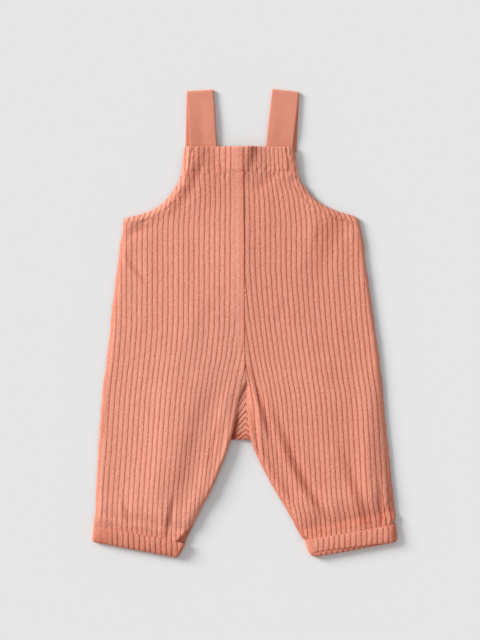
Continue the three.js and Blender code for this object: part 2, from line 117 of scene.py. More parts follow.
# Both ends of the slanted lower end of each leg
HEM = {
    "left": {"side": 161.8, "side_y": -238.4, "inner": 68.5, "inner_y": -256.0},
    "right": {"side": 165.0, "side_y": -236.4, "inner": 72.5, "inner_y": -255.6},
}
BACK_INSET = 1.5
BACK_CLOTH = 1.8
BACK_THREADS_PER_WALE = 5
BACK_COLUMNS = 150
BACK_GRID_STEP = 2.9
LEG_LIFT = 2.1
LEG_LIFT_START = 19.0
LEG_LIFT_FADE = 8.0
WALE = 5.68
RIB_ROUNDNESS = 3.6
RIB_WANDER = 0.3
GROOVE_SHARPNESS = 4.2
PILE_COLOURS = [(158, 68, 48), (203, 121, 99), (221, 146, 124), (233, 163, 142)]
PILE_BUMP = 0.9


def smooth(t):
    """A soft step from 0 to 1."""
    t = np.clip(t, 0.0, 1.0)
    return t * t * (3.0 - 2.0 * t)


def read_table(table, y, name):
    """Value of a named column at a height, on a smooth curve that never overshoots a row."""
    ys = np.array([row["y"] for row in table[::-1]])
    values = np.array([row[name] for row in table[::-1]])
    rise = np.diff(values) / np.diff(ys)
    both = rise[:-1] * rise[1:]
    mean = np.where(np.abs(rise[:-1] + rise[1:]) > 1e-9, rise[:-1] + rise[1:], 1.0)
    slope = np.zeros(len(ys))
    slope[1:-1] = np.where(both > 0.0, 2.0 * both / mean, 0.0)
    slope[0], slope[-1] = rise[0], rise[-1]
    i = np.clip(np.searchsorted(ys, y) - 1, 0, len(ys) - 2)
    span = ys[i + 1] - ys[i]
    t = np.clip((y - ys[i]) / span, 0.0, 1.0)
    ends = values[i] + smooth(t) * (values[i + 1] - values[i])
    return ends + span * t * (1.0 - t) * ((1.0 - t) * slope[i] - t * slope[i + 1])


def inner_edge(half, y):
    """Distance of the inner edge of a leg from the centre line of the garment."""
    return read_table(INNER_EDGE, y, half) + SEAM_GAP / 2.0


def hem_height(half, o):
    """Height of the slanted hem at a distance from the seam."""
    hem = HEM[half]
    slope = (hem["side_y"] - hem["inner_y"]) / (hem["side"] - hem["inner"])
    return hem["inner_y"] + slope * (o - hem["inner"])


def edge_to_hem(half, edge, top):
    """Points down an edge of the pattern, the last one on the hem."""
    points = []
    y = top
    while y > hem_height(half, edge(y)):
        points.append((edge(y), y))
        y -= PATTERN_STEP
    return points + [(edge(y), float(hem_height(half, edge(y))))]


def pattern_outline(half, top, crotch, inset, seam):
    """The pattern's outline and its corners, anticlockwise from the top of the seam."""
    side = edge_to_hem(half, lambda y: float(read_table(SIDE_EDGE, y, half)) - inset, top)
    inner = edge_to_hem(half, lambda y: float(inner_edge(half, y)) + inset, crotch)
    heights = list(np.arange(top, crotch, -PATTERN_STEP)) + [crotch]
    middle = [(float(seam(y)), y) for y in heights]
    armpit = (float(read_table(SIDE_EDGE, ARMPIT, half)) - inset, ARMPIT)
    corners = [middle[0], inner[-1], side[-1], side[0], armpit]
    return np.array(middle + inner + side[::-1]), np.array(corners)


def nearest_on(line, points, closed=True, reach=500.0):
    """Distance to a line of points up to a reach, the place on it and the way out there."""
    start = line if closed else line[:-1]
    end = np.roll(line, -1, axis=0) if closed else line[1:]
    low = np.minimum(start[:, 1], end[:, 1])
    high = np.maximum(start[:, 1], end[:, 1])
    distance = np.full(len(points), float(reach))
    place = points.copy()
    out = np.zeros((len(points), 2))
    order = np.argsort(points[:, 1], kind="stable")
    for rows in np.array_split(order, max(1, len(points) // 1200)):
        part = points[rows]
        near = (high > part[:, 1].min() - reach) & (low < part[:, 1].max() + reach)
        if not near.any():
            continue
        first, along = start[near], (end - start)[near]
        length = np.maximum((along**2).sum(1), 1e-12)
        x = part[:, :1] - first[:, 0]
        y = part[:, 1:] - first[:, 1]
        t = np.clip((x * along[:, 0] + y * along[:, 1]) / length, 0.0, 1.0)
        x -= t * along[:, 0]
        y -= t * along[:, 1]
        gap = x * x + y * y
        best = gap.argmin(1)
        each = np.arange(len(part))
        distance[rows] = np.minimum(np.sqrt(gap[each, best]), reach)
        place[rows, 0] = part[:, 0] - x[each, best]
        place[rows, 1] = part[:, 1] - y[each, best]
        way = along[best] / np.sqrt(length[best])[:, None]
        out[rows] = np.stack([way[:, 1], -way[:, 0]], axis=1)
    return distance, place, out


def uneven(x, y, size, seed):
    """Smooth random unevenness between -1 and 1, in lumps of about the given size."""
    column, row = np.floor(x / size), np.floor(y / size)
    right, up = smooth(x / size - column), smooth(y / size - row)

    def lump(across, above):
        """A fixed random height for each lump."""
        turn = (column + across) * 127.1 + (row + above) * 311.7 + seed * 74.7
        value = np.sin(turn) * 43758.5453
        return (value - np.floor(value)) * 2.0 - 1.0

    below = lump(0, 0) * (1.0 - right) + lump(1, 0) * right
    over = lump(0, 1) * (1.0 - right) + lump(1, 1) * right
    return below * (1.0 - up) + over * up


def rib_profile(share):
    """Height of the pile from 0 in a groove to 1 on a rib."""
    return 1.0 - np.abs(2.0 * (share % 1.0) - 1.0) ** RIB_ROUNDNESS


def wale_count(w, y, start=0.0):
    """How many wales lie between a start and a thread, which wander a little on the way."""
    wander = RIB_WANDER * uneven(w, y * 0.4, 8.0, 1) + 0.18 * uneven(w, y, 4.2, 2)
    return (w + wander - start) / WALE


def srgb(red, green, blue):
    """A colour as it is seen, from 0 to 255, as the light it gives back."""
    channels = [c / 255.0 for c in (red, green, blue)]
    return [((c + 0.055) / 1.055) ** 2.4 if c > 0.04045 else c / 12.92 for c in channels] + [1.0]


def cloth_material(name, colours, pile_size, pile_depth):
    """Matt cloth: its colour deepens in the grooves and its nap breaks up the light."""
    material = bpy.data.materials.new(name)
    material.use_nodes = True
    nodes, links = material.node_tree.nodes, material.node_tree.links
    shader = nodes["Principled BSDF"]
    shader.inputs["Roughness"].default_value = 0.92
    shader.inputs["Sheen Weight"].default_value = 0.05
    shader.inputs["Sheen Roughness"].default_value = 0.5
    shader.inputs["Sheen Tint"].default_value = srgb(255, 170, 145)
    shader.inputs["Specular IOR Level"].default_value = 0.04
    uv = nodes.new("ShaderNodeUVMap")
    uv.uv_map = "cloth"
    wale, show, base = (nodes.new("ShaderNodeAttribute") for _ in range(3))
    wale.attribute_name, show.attribute_name, base.attribute_name = "wale", "show", "base"

    def sum_up(operation, first, second=0.0, third=0.0):
        """The outcome of one step of arithmetic."""
        node = nodes.new("ShaderNodeMath")
        node.operation = operation
        for socket, value in zip(node.inputs, (first, second, third)):
            if isinstance(value, float):
                socket.default_value = value
            else:
                links.new(value, socket)
        return node.outputs["Value"]

    share = sum_up("FRACT", wale.outputs["Fac"])
    off_middle = sum_up("ABSOLUTE", sum_up("MULTIPLY_ADD", share, 2.0, -1.0))
    groove = sum_up("POWER", off_middle, GROOVE_SHARPNESS)
    rib = sum_up("SUBTRACT", 1.0, groove)
    rise = sum_up("MULTIPLY_ADD", rib, show.outputs["Fac"], base.outputs["Fac"])
    stretch = nodes.new("ShaderNodeMapping")
    stretch.inputs["Scale"].default_value = (1.0, 0.6, 1.0)
    links.new(uv.outputs["UV"], stretch.inputs["Vector"])
    pile = nodes.new("ShaderNodeTexNoise")
    pile.inputs["Scale"].default_value = pile_size
    pile.inputs["Detail"].default_value = 4.0
    pile.inputs["Roughness"].default_value = 0.65
    links.new(stretch.outputs["Vector"], pile.inputs["Vector"])
    patches = nodes.new("ShaderNodeTexNoise")
    patches.inputs["Scale"].default_value = 4.5
    patches.inputs["Detail"].default_value = 3.0
    links.new(uv.outputs["UV"], patches.inputs["Vector"])
    nap = sum_up("MULTIPLY_ADD", pile.outputs["Fac"], 1.3, rise)
    mottle_and_plain_corner = sum_up("MULTIPLY_ADD", patches.outputs["Fac"], 0.2, nap)
    centred = sum_up("MULTIPLY_ADD", mottle_and_plain_corner, 0.85, -0.59)
    ramp = nodes.new("ShaderNodeValToRGB")
    stops = ramp.color_ramp.elements
    for place in (0.4, 0.75):
        stops.new(place)
    for stop, colour in zip(stops, colours):
        stop.color = srgb(*colour)
    links.new(centred, ramp.inputs["Fac"])
    links.new(ramp.outputs["Color"], shader.inputs["Base Color"])
    bump = nodes.new("ShaderNodeBump")
    bump.inputs["Strength"].default_value = pile_depth
    bump.inputs["Distance"].default_value = PILE_BUMP * MM
    links.new(sum_up("MULTIPLY_ADD", rise, 0.07, pile.outputs["Fac"]), bump.inputs["Height"])
    links.new(bump.outputs["Normal"], shader.inputs["Normal"])
    return material


corduroy = cloth_material("corduroy", PILE_COLOURS, 62.0, 0.8)


def cut_cloth(line, corners, grid, place, scallop=None):
    """A flat piece of cloth, cut from a grid of threads along an outline."""
    bm = bmesh.new()
    bmesh.ops.create_grid(bm, x_segments=grid["columns"], y_segments=grid["rows"], size=0.5)
    flat = np.array([v.co[:2] for v in bm.verts]) + 0.5
    w = grid["first"] + flat[:, 0] * grid["columns"] * grid["spacing"]
    y = grid["low"] + flat[:, 1] * (grid["high"] - grid["low"])
    spots = np.stack([place(w, y), y], axis=1)
    for v, (o, height) in zip(bm.verts, spots):
        v.co = (o, height, 0.0)
    bm.verts.index_update()
    middles = spots[np.array([[v.index for v in f.verts] for f in bm.faces])].mean(1)
    keep = inside_outline(line, middles)
    outside = [f for f, kept in zip(bm.faces, keep) if not kept]
    bmesh.ops.delete(bm, geom=outside, context="FACES")
    rim = [v for v in bm.verts if v.is_boundary]
    spots = np.array([v.co[:2] for v in rim])
    _, feet, out = nearest_on(line, spots)
    if scallop is not None:
        feet = feet + out * scallop(feet)[:, None]
    for corner in corners:
        nearest = np.hypot(*(spots - corner).T).argmin()
        feet[nearest] = corner
    for v, foot in zip(rim, feet):
        v.co = (foot[0], foot[1], 0.0)
    bmesh.ops.remove_doubles(bm, verts=bm.verts, dist=0.15)
    bmesh.ops.dissolve_degenerate(bm, dist=0.02, edges=bm.edges)
    return bm


def inside_outline(line, points):
    """Which points lie inside a closed outline, by counting its crossings to the right."""
    inside = np.zeros(len(points), dtype=bool)
    end = np.roll(line, -1, axis=0)
    for (x1, y1), (x2, y2) in zip(line, end):
        if y1 == y2:
            continue
        crosses = (points[:, 1] > min(y1, y2)) & (points[:, 1] <= max(y1, y2))
        at = x1 + (points[:, 1] - y1) * (x2 - x1) / (y2 - y1)
        inside ^= crosses & (points[:, 0] < at)
    return inside


def thicken(bm, name, side):
    """Gives flat cloth two faces: its mesh, its flat places and which of them are on top."""
    bmesh.ops.solidify(bm, geom=bm.faces[:], thickness=1.0)
    if side < 0:
        bmesh.ops.reverse_faces(bm, faces=bm.faces)
    mesh = bpy.data.meshes.new(name)
    bm.to_mesh(mesh)
    bm.free()
    places = np.empty(len(mesh.vertices) * 3)
    mesh.vertices.foreach_get("co", places)
    across, along, level = places.reshape(-1, 3).T
    return mesh, across, along, level > (level.min() + level.max()) / 2.0


def lay_out(mesh, x, y, z):
    """Puts each point of the cloth in its place on the table."""
    mesh.vertices.foreach_set("co", (np.stack([x, y, z], axis=1) * MM).ravel())
    mesh.update()
    piece = bpy.data.objects.new(mesh.name, mesh)
    bpy.context.scene.collection.objects.link(piece)
    return piece


def dress_mesh(mesh, w, y, wale, show, base, material):
    """Smooth shading, thread coordinates, count of wales, show of pile and material."""
    corner = np.empty(len(mesh.loops), dtype=int)
    mesh.loops.foreach_get("vertex_index", corner)
    thread_map = mesh.uv_layers.new(name="cloth")
    thread_map.data.foreach_set("uv", (np.stack([w, y], axis=1)[corner] / 100.0).ravel())
    for kind, value in (("wale", wale), ("show", show), ("base", base)):
        layer = mesh.attributes.new(kind, "FLOAT", "POINT")
        layer.data.foreach_set("value", (value + 0.0 * w).astype(np.float32))
    mesh.polygons.foreach_set("use_smooth", [True] * len(mesh.polygons))
    mesh.materials.append(material)


def finish_cloth(bm, name, start, side, shape, thread):
    """Makes a cut piece of corduroy: its two faces, its pile and its place."""
    mesh, o, y, on_top = thicken(bm, name, side)
    w = thread(o, y)
    over, under, wale, show, base = shape(w, o, y)
    show = np.where(on_top, show, 0.0)
    dress_mesh(mesh, w, y, wale, show, np.where(on_top, base, 0.6), corduroy)
    return lay_out(mesh, start + side * o, y, np.where(on_top, over, under))


def leg_lift(half, o, y, lead):
    """How far a leg is lifted near its hem by the cuff's back wall below it."""
    above = y - hem_height(half, o) - LEG_LIFT_START - lead
    return LEG_LIFT * (1.0 - smooth(above / LEG_LIFT_FADE))


def make_back(half):
    """One back half, cut and laid on the surface."""
    middle = SEAM_GAP / 2.0
    line, corners = pattern_outline(half, BACK_TOP, BACK_CROTCH, BACK_INSET, lambda y: middle)
    spacing = WALE / BACK_THREADS_PER_WALE
    grid = {
        "first": middle - BACK_THREADS_PER_WALE * spacing,
        "spacing": spacing,
        "columns": BACK_COLUMNS,
        "low": PATTERN_END,
        "high": BACK_TOP,
        "rows": int((BACK_TOP - PATTERN_END) / BACK_GRID_STEP),
    }
    bm = cut_cloth(line, corners[:4], grid, lambda w, y: w)

    def shape(w, o, y):
        """Pressed flat below, with its edges rolled up, and lifted by the cuff."""
        edge = nearest_on(line, np.stack([o, y], axis=1), reach=6.0)[0]
        off_seam = smooth((o - 2.0) / 3.0)
        over_roll = 0.6 * (1.0 - smooth(edge / 2.5)) * off_seam
        under_roll = 0.5 * (1.0 - smooth(edge / 2.0)) * off_seam
        wale = wale_count(w, y)
        pressed = 0.75 * (1.0 - rib_profile(wale)) ** 0.8
        lift = leg_lift(half, o, y, 0.0)
        under = lift + np.minimum(pressed + under_roll, 0.9)
        return BACK_CLOTH + lift - over_roll, under, wale, 0.0, 0.6

    name = "back_panel_" + half
    piece = finish_cloth(bm, name, SEAM_X, SIDES[half], shape, lambda o, y: o)
    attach(piece, "root")
    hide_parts("back_" + half)


for half in SIDES:
    make_back(half)


# Shoulder straps: one flat ribbon of plain twill each, two layers turned and pressed.
# It starts inside the bib, passes over the shoulder in a loose fold and goes down to the top
# of the back. The back leg lies a little outside the front one.
STRAP_WIDTH = 29.6
STRAP_LENGTH = 150.0
STRAP_CLOTH = 1.2
STRAP_TUCK = 20.0
STRAP_TOP = 254.3
STRAP_FOLD = 1.25
STRAP_BOW = 0.9
STRAP_GRID = (26, 110)
STRAPS = {
    "left": {"bib": -44.0, "fold": -49.1, "back": -50.7},
    "right": {"bib": 35.9, "fold": 44.9, "back": 42.1},
}
FRONT_REST = BACK_CLOTH + SEAM_GAP
TWILL_COLOURS = [(184, 104, 82), (205, 128, 106), (221, 147, 124), (229, 158, 136)]
twill = cloth_material("strap twill", TWILL_COLOURS, 90.0, 0.5)


def swell(distance, reach):
    """A soft round rise: 1 at no distance, and hardly any beyond twice its reach."""
    return np.exp(-((distance / reach) ** 2))


def strap_path(half, t):
    """Middle of the ribbon along its length, its tilt across, and the way it faces."""
    strap = STRAPS[half]
    bib_y = BIB_TOP - STRAP_TUCK
    back_y = BACK_TOP + SEAM_GAP
    front = STRAP_TOP - bib_y
    bend = math.pi * STRAP_FOLD
    back = STRAP_TOP - back_y
    s = t * (front + bend + back)
    on_front = np.clip(s / front, 0.0, 1.0)
    turn = np.clip((s - front) / bend, 0.0, 1.0) * math.pi
    on_back = np.clip((s - front - bend) / back, 0.0, 1.0)
    low = FRONT_REST + STRAP_CLOTH / 2.0
    high = STRAP_CLOTH / 2.0 + 2.0 * STRAP_FOLD
    bow = STRAP_BOW * np.sin(math.pi * on_front) ** 2 * smooth((on_front - 0.2) / 0.3)
    drop = STRAP_FOLD * (1.0 - np.cos(turn))
    x = strap["bib"] + on_front * (strap["fold"] - strap["bib"])
    x = x + on_back * (strap["back"] - strap["fold"])
    y = bib_y + on_front * front + STRAP_FOLD * np.sin(turn) - on_back * back
    z = low + on_front * (high - low) + bow - drop
    tilt = (strap["fold"] - strap["bib"]) / front * (1.0 - on_back)
    return x, y, z, tilt, turn


def strap_curl(half, across):
    """The lengthwise ridge and trough that a pressed ribbon keeps."""
    if half == "left":
        return 0.65 * swell(across + 16.0, 7.0) - 0.45 * swell(across, 6.0)
    return 0.35 * swell(across + 9.0, 7.0)


def make_strap(half):
    """One shoulder strap, from inside the bib to the top of the back."""
    bm = bmesh.new()
    bmesh.ops.create_grid(bm, x_segments=STRAP_GRID[0], y_segments=STRAP_GRID[1], size=0.5)
    mesh, across, t, on_top = thicken(bm, "strap_" + half + "_ribbon", 1)
    across, t = across * STRAP_WIDTH, t + 0.5
    face = np.where(on_top, 0.5, -0.5)
    x, y, z, tilt, turn = strap_path(half, t)
    from_edge = STRAP_WIDTH / 2.0 - np.abs(across)
    thick = STRAP_CLOTH * (0.55 + 0.45 * smooth(from_edge / 1.2))
    on_front = (turn == 0.0) * smooth(t / 0.12)
    curl = 0.12 * uneven(across + 40.0, t * 60.0, 6.5, 51)
    curl = curl + 0.3 * uneven(across, t * 40.0, 15.0, 52) + strap_curl(half, across)
    curl = curl * on_front * np.sin(math.pi * np.clip(t * 2.0, 0.0, 1.0))
    tone = 0.5 + 0.2 * smooth(from_edge / 2.0)
    dress_mesh(mesh, across, t * STRAP_LENGTH, 0.5, 0.0, tone, twill)
    y = y - tilt * across + face * thick * np.sin(turn)
    z = z + face * thick * np.cos(turn) + curl
    piece = lay_out(mesh, x + across, y, z)
    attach(piece, "root")
    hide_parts("strap_" + half)


for half in SIDES:
    make_strap(half)


# Crotch ends of the front, folded in below the pleat between the legs.
# The two leg seams meet there, so the ribs run together in a chevron. It lies on the back
# panels and goes under the edges of both legs.
CROTCH_BOTTOM = -127.6
CROTCH_MIDDLE = 1.3
CROTCH_LEFT = -20.6
CROTCH_RIGHT = 13.4
CROTCH_CLOTH = 1.3
CROTCH_RIB = 0.9
CROTCH_GRID_STEP = 0.5
CHEVRON_PITCH = {"bottom": 5.0, "top": 10.0}
CHEVRON_SLOPE = {"bottom": 0.7, "top": 1.9}


def make_crotch():
    """The triangle of cloth that shows between the legs."""
    height = CROTCH_TOP - CROTCH_BOTTOM
    peak = (CROTCH_MIDDLE - 1.0, CROTCH_TOP)
    line = np.array([peak, (CROTCH_LEFT, CROTCH_BOTTOM), (CROTCH_RIGHT, CROTCH_BOTTOM)])
    steps = np.linspace(0.0, 1.0, 40, endpoint=False)[:, None]
    edges = [a + steps * (b - a) for a, b in zip(line, np.roll(line, -1, axis=0))]
    outline = np.concatenate(edges)
    grid = {
        "first": CROTCH_LEFT,
        "spacing": CROTCH_GRID_STEP,
        "columns": round((CROTCH_RIGHT - CROTCH_LEFT) / CROTCH_GRID_STEP),
        "low": CROTCH_BOTTOM,
        "high": CROTCH_TOP,
        "rows": round(height / CROTCH_GRID_STEP),
    }

    def chevron(x, y):
        """Count of the ribs that rise on both sides of the middle, steeper towards the top."""
        up = (y - CROTCH_BOTTOM) / height
        slope = CHEVRON_SLOPE["bottom"] + (CHEVRON_SLOPE["top"] - CHEVRON_SLOPE["bottom"]) * up
        along = up + slope * np.abs(x - CROTCH_MIDDLE) / height
        wider = CHEVRON_PITCH["top"] / CHEVRON_PITCH["bottom"] - 1.0
        wales = height / CHEVRON_PITCH["bottom"] / wider * np.log1p(wider * np.maximum(along, 0.0))
        return wales + 0.12 * uneven(x, y, 3.0, 5)

    def left_recess(x, y):
        """How far the cloth sinks beside the left leg, which lies over it, and where its ribs are
        painted darker there as shade.
        """
        edge = read_table(INNER_EDGE, y, "left")
        return smooth((5.0 - (x - SEAM_X + edge)) / 3.2) * smooth((CROTCH_TOP - 26.0 - y) / 16.0)

    def scallop(feet):
        """The ribs end in bumps along the lower edge."""
        low_edge = feet[:, 1] < CROTCH_BOTTOM + 1.0
        bumps = 0.8 * np.abs(np.sin(feet[:, 0] * math.pi / 4.4)) - 0.2
        return np.where(low_edge, bumps, 0.0)

    def shape(_, x, y):
        """Ribs in a chevron on cloth that rounds off at its edges."""
        edge = nearest_on(outline, np.stack([x, y], axis=1))[0]
        round_off = 0.6 * (1.0 - smooth(edge / 2.0))
        wale = chevron(x, y)
        rise = rib_profile(wale)
        recess = left_recess(x, y)
        under = np.full_like(x, FRONT_REST)
        full = 0.5 + 0.5 * smooth((CROTCH_TOP - 4.0 - y) / 36.0)
        over = under + full * (CROTCH_CLOTH + CROTCH_RIB * rise) - 0.6 * full * round_off
        over = over - 0.8 * recess * full
        # Painted shade: the crotch cloth is a little darker throughout, darker again towards its lower
        # end between the legs, and its ribs fade darker beside the left leg
        painted_shade_low_end = smooth((CROTCH_BOTTOM + 11.0 - y) / 10.0)
        return over, under, wale, 1.0 - 0.8 * recess, -0.1 - 0.4 * painted_shade_low_end

    bm = cut_cloth(outline, line, grid, lambda w, y: w, scallop)
    piece = finish_cloth(bm, "crotch_pleat", 0.0, 1, shape, lambda x, y: x)
    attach(piece, "root")
    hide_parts("crotch_fold")


make_crotch()


# Front halves: corduroy with its pile up, over the back, the crotch and the strap ends.
# The seam allowance of the centre seam is turned to the left and sewn flat. The bib has a
# deep turned hem, and the armholes are turned and topstitched, which puckers them.
CLOTH = 1.5
CLOTH_EDGE = 0.7
RIB_HEIGHT = 0.22
WALE_START = {"left": 1.9, "right": 2.7}
THREADS_PER_WALE = 7
FRONT_COLUMNS = 245
FRONT_FIRST_THREAD = -42
FRONT_GRID_STEP = 1.5
# How far the centre seam has drifted to the right of the middle
SEAM_DRIFT = [
    {"y": 197.0, "right": 0.8},
    {"y": 103.0, "right": 2.2},
    {"y": -7.0, "right": 2.8},
    {"y": -67.8, "right": 3.4},
    {"y": -262.0, "right": 3.4},
]
# How far the wales lean outward below the chest, and how they spread in the bib
LEG_LEAN = [
    {"y": 200.0, "left": 0.0, "right": 0.0},
    {"y": 62.0, "left": 0.0, "right": 0.0},
    {"y": 48.0, "left": 0.0, "right": 0.7},
    {"y": 26.0, "left": 0.0, "right": 2.0},
    {"y": -2.0, "left": 0.3, "right": 4.3},
    {"y": -29.0, "left": 2.0, "right": 7.1},
    {"y": -57.0, "left": 4.9, "right": 10.7},
    {"y": -84.0, "left": 7.5, "right": 14.4},
    {"y": -112.0, "left": 9.3, "right": 16.3},
    {"y": -139.0, "left": 11.0, "right": 17.8},
    {"y": -167.0, "left": 13.0, "right": 19.2},
    {"y": -194.0, "left": 14.7, "right": 20.8},
    {"y": -216.0, "left": 15.6, "right": 24.2},
    {"y": -262.0, "left": 16.6, "right": 27.0},
]
BIB_SPREAD = [
    {"y": 200.0, "left": 0.0, "right": -0.2},
    {"y": 162.0, "left": -0.01, "right": -0.15},
    {"y": 136.0, "left": -0.03, "right": -0.05},
    {"y": 104.0, "left": 0.0, "right": 0.0},
    {"y": 62.0, "left": 0.0, "right": 0.0},
]
LEAN_AT_SEAM = {"left": 1.0, "right": 0.5}
LEAN_REACH = 36.0
LOFT = 1.8
LOFT_CURVE = 1.4
LOFT_REACH = {"left": 3.2, "right": 1.6, "puffed": 6.0, "inner": 5.4, "creased": 1.1}
PUFFED_SIDE = {"rise": 1.6, "top": -30.0, "top_fade": 70.0, "from": 90.0, "from_fade": 50.0}
EDGE_TURN = {"rise": 1.4, "reach": 5.0, "top": -98.0, "end": -240.0}
EDGE_ROUND = 2.2
DOME = 3.0
DOME_REACH = 75.0
BIB_LIFT = 1.6
BIB_FOOT = 128.0
BIB_FADE = 34.0
PLEAT_LIFT = {"left": 2.1, "right": 1.7}
PLEAT_TOP = -80.0
PLEAT_END = {"left": -228.0, "right": -172.0}
PLEAT_REACH = 17.0
BLOUSE = 1.3
BLOUSE_START = 16.0
HEM_SLACK = 0.25
BLOUSE_FALL = {"left": 28.0, "right": 42.0}
# Painted shade on each leg just above its cuff: its strength, and its height over the hem
PAINTED_SHADE_ABOVE_CUFF = {"left": 0.08, "right": 0.2}
SHADE_ABOVE_CUFF_PLACE = {"left": 20.0, "right": 27.0}
# Strength of the painted shade along the creases
PAINTED_CREASE_SHADE = 0.24
BANK_STEEPNESS = 1.45
FOLD_REACH = 3.0
SEAM_CLOSE = 0.3
SEAM_BAND = 10.2
SEAM_BAND_RISE = 0.55
SEAM_BAND_END = -35.0
SEAM_FADE = 30.0
SEAM_STEP = 0.2
SEAM_STITCH = 4.7
SEAM_STITCH_END = CROTCH_TOP + 40.0
SIDE_STITCH = 8.0
SIDE_STITCH_TOP = -165.0
SIDE_PUCKERS = {"top": -160.0, "rows": [(14.0, 1.2), (3.2, 1.0)], "middle": 7.0}
BIB_HEM = 167.0
ARMHOLE_HEM = 8.0
CUFF_COVER = 17.0
CUFF_MEETS = 20.0
# Where the left leg turns raised, plainer and lighter towards its outer end above the cuff
PLAIN_CORNER_SIDE = 143.0
CORNER_FOLD = {"half": "left", "top": (55.3, -222.2), "bottom": (70.7, -238.3), "drop": 2.2}
# The creases: each has a width, and a path of places across and along with its height there
FOLDS = [
    # bib
    {"kind": "bank", "width": 7.0, "path": [
        (-42, 196, 0.25), (-47, 185, 0.6), (-54, 169, 0.95), (-62, 149, 0.9), (-82, 122, 0.4),
        (-112, 103, 0),
    ]},
    {"kind": "soft", "width": 7.7, "path": [(-38, 193, -0.3), (-34, 180, -0.7), (-32, 167, 0)]},
    {"kind": "soft", "width": 21.0, "path": [
        (0, 197, 6.2), (-1, 174, 3.4), (-1, 152, 0.8), (-1, 136, 0),
    ]},
    {"kind": "soft", "width": 17.0, "path": [(46, 197, 2.4), (44, 176, 1.8), (36, 148, 0)]},
    {"kind": "soft", "width": 24.0, "path": [(-62, 197, 2.6), (-60, 152, 2.4), (-76, 108, 0)]},
    {"kind": "bank", "width": 6.0, "path": [(10, 196, 1.7), (5, 176, 0.9), (1, 158, 0.3), (0, 145, 0)]},
    {"kind": "soft", "width": 5.5, "path": [
        (37, 167, 0), (28, 160, -0.7), (15, 149, -0.7), (10, 142, 0),
    ]},
    # chest and sides
    {"kind": "bank", "width": 17.0, "path": [(100, 118, 0.6), (92, 101, 0.9), (80, 70, 0.3)]},
    {"kind": "bank", "width": 4.4, "path": [(81, 112, 0.2), (78, 97, 0.5), (76, 79, 0)]},
    {"kind": "soft", "width": 4.4, "path": [(115, 105, 0.3), (117, 96, 1), (119, 85, 0)]},
    {"kind": "soft", "width": 5.5, "path": [(37, 35, 0), (35, 21, 0.4), (34, 6, 0)]},
    {"kind": "bank", "width": 4.4, "path": [
        (-133, 81, 0), (-126, 65, 0.6), (-113, 48, 0.6), (-102, 37, 0),
    ]},
    {"kind": "soft", "width": 18.0, "path": [
        (-118, 76, 0.5), (-88, 45, 0.8), (-48, 14, 0.8), (-14, -6, 0),
    ]},
    {"kind": "soft", "width": 5.5, "path": [(-124, 100, -1.4), (-113, 104, -1.4), (-98, 108, 0)]},
    # left leg
    {"kind": "soft", "width": 34.0, "path": [
        (-48, -30, 0), (-62, -80, 1.8), (-72, -128, 3.2), (-84, -183, 3.3), (-92, -222, 1.4),
    ]},
    {"kind": "bank", "width": 13.0, "path": [
        (-26, -42, 0), (-39, -66, 0.15), (-49, -90, 0.35), (-61, -128, 0.5), (-73, -172, 0.6),
        (-82, -206, 0),
    ]},
    {"kind": "bank", "width": 3.9, "path": [
        (-79, -185, 0), (-82, -201, 1.2), (-84, -216, 1.6), (-87, -233, 1.3),
    ]},
    {"kind": "soft", "width": 6.5, "path": [
        (-7, -42, 0), (-19, -82, 1), (-30, -117, 1.3), (-39, -150, 1.2), (-49, -183, 1.1),
        (-64, -216, 0.7),
    ]},
    {"kind": "soft", "width": 2.8, "path": [
        (-27, -106, 0), (-33, -126, -0.8), (-39, -152, -0.8), (-43, -163, 0),
    ]},
    {"kind": "soft", "width": 3.9, "path": [(-128, -225, -0.6), (-111, -227, -1.1), (-93, -231, -0.8)]},
    {"kind": "soft", "width": 3.3, "path": [(-93, -192, 0), (-92, -207, 0.9), (-91, -229, 1.2)]},
    {"kind": "bank", "width": 4.4, "path": [(-135, -190, 0), (-133, -201, 0.8), (-130, -216, 0.6)]},
    {"kind": "soft", "width": 4.4, "path": [
        (-147, -46, 0), (-149, -79, -0.6), (-153, -117, -0.5), (-154, -134, 0),
    ]},
    # right leg
    {"kind": "bank", "width": 4.4, "path": [
        (4, -42, 0), (8, -56, 0.5), (13, -74, 1.1), (19, -95, 1.5), (23, -113, 1.3), (27, -130, 0),
    ]},
    {"kind": "soft", "width": 2.8, "path": [
        (6, -86, 0), (8, -101, -1.2), (11, -122, -1.4), (15, -141, -0.6), (18, -152, 0),
    ]},
    {"kind": "bank", "width": 6.5, "path": [
        (22, -71, 0), (31, -97, 0.5), (40, -121, 1.0), (49, -145, 1.5), (61, -170, 1.6),
        (74, -193, 1.1), (87, -211, 0.4),
    ]},
    {"kind": "bank", "width": 5.5, "path": [
        (15, -122, 0), (23, -144, 0.6), (33, -166, 0.6), (44, -184, 0.5), (56, -205, 0),
    ]},
    {"kind": "soft", "width": 4.4, "path": [
        (21, -124, 0), (30, -147, 0.6), (40, -172, 0.5), (45, -183, 0),
    ]},
    {"kind": "soft", "width": 26.4, "path": [
        (81, -29, 0), (96, -84, 1), (107, -139, 1.2), (116, -194, 0),
    ]},
    {"kind": "bank", "width": 8.0, "path": [
        (101, -125, 0), (109, -152, 0.5), (118, -176, 0.9), (127, -200, 1.1), (134, -223, 0.8),
    ]},
    {"kind": "soft", "width": 12.0, "path": [
        (133, -35, 0), (135, -90, 1.5), (136, -150, 2.4), (137, -211, 1.7),
    ]},
    {"kind": "soft", "width": 3.9, "path": [(150, -181, 0), (149, -196, -1.5), (148, -221, -1.6)]},
    {"kind": "soft", "width": 2.8, "path": [(154, -188, 0), (154, -199, 0.9), (154, -210, 0)]},
    {"kind": "soft", "width": 5.5, "path": [(78, -205, 0), (80, -217, -1), (83, -229, -1)]},
]


def seam_edge(half, y):
    """The centre seam of a front, which isn't quite straight."""
    wander = 0.3 * uneven(0.0 * y, y, 9.0, 61)
    return SEAM_GAP / 2.0 + SIDES[half] * (read_table(SEAM_DRIFT, y, "right") + wander)


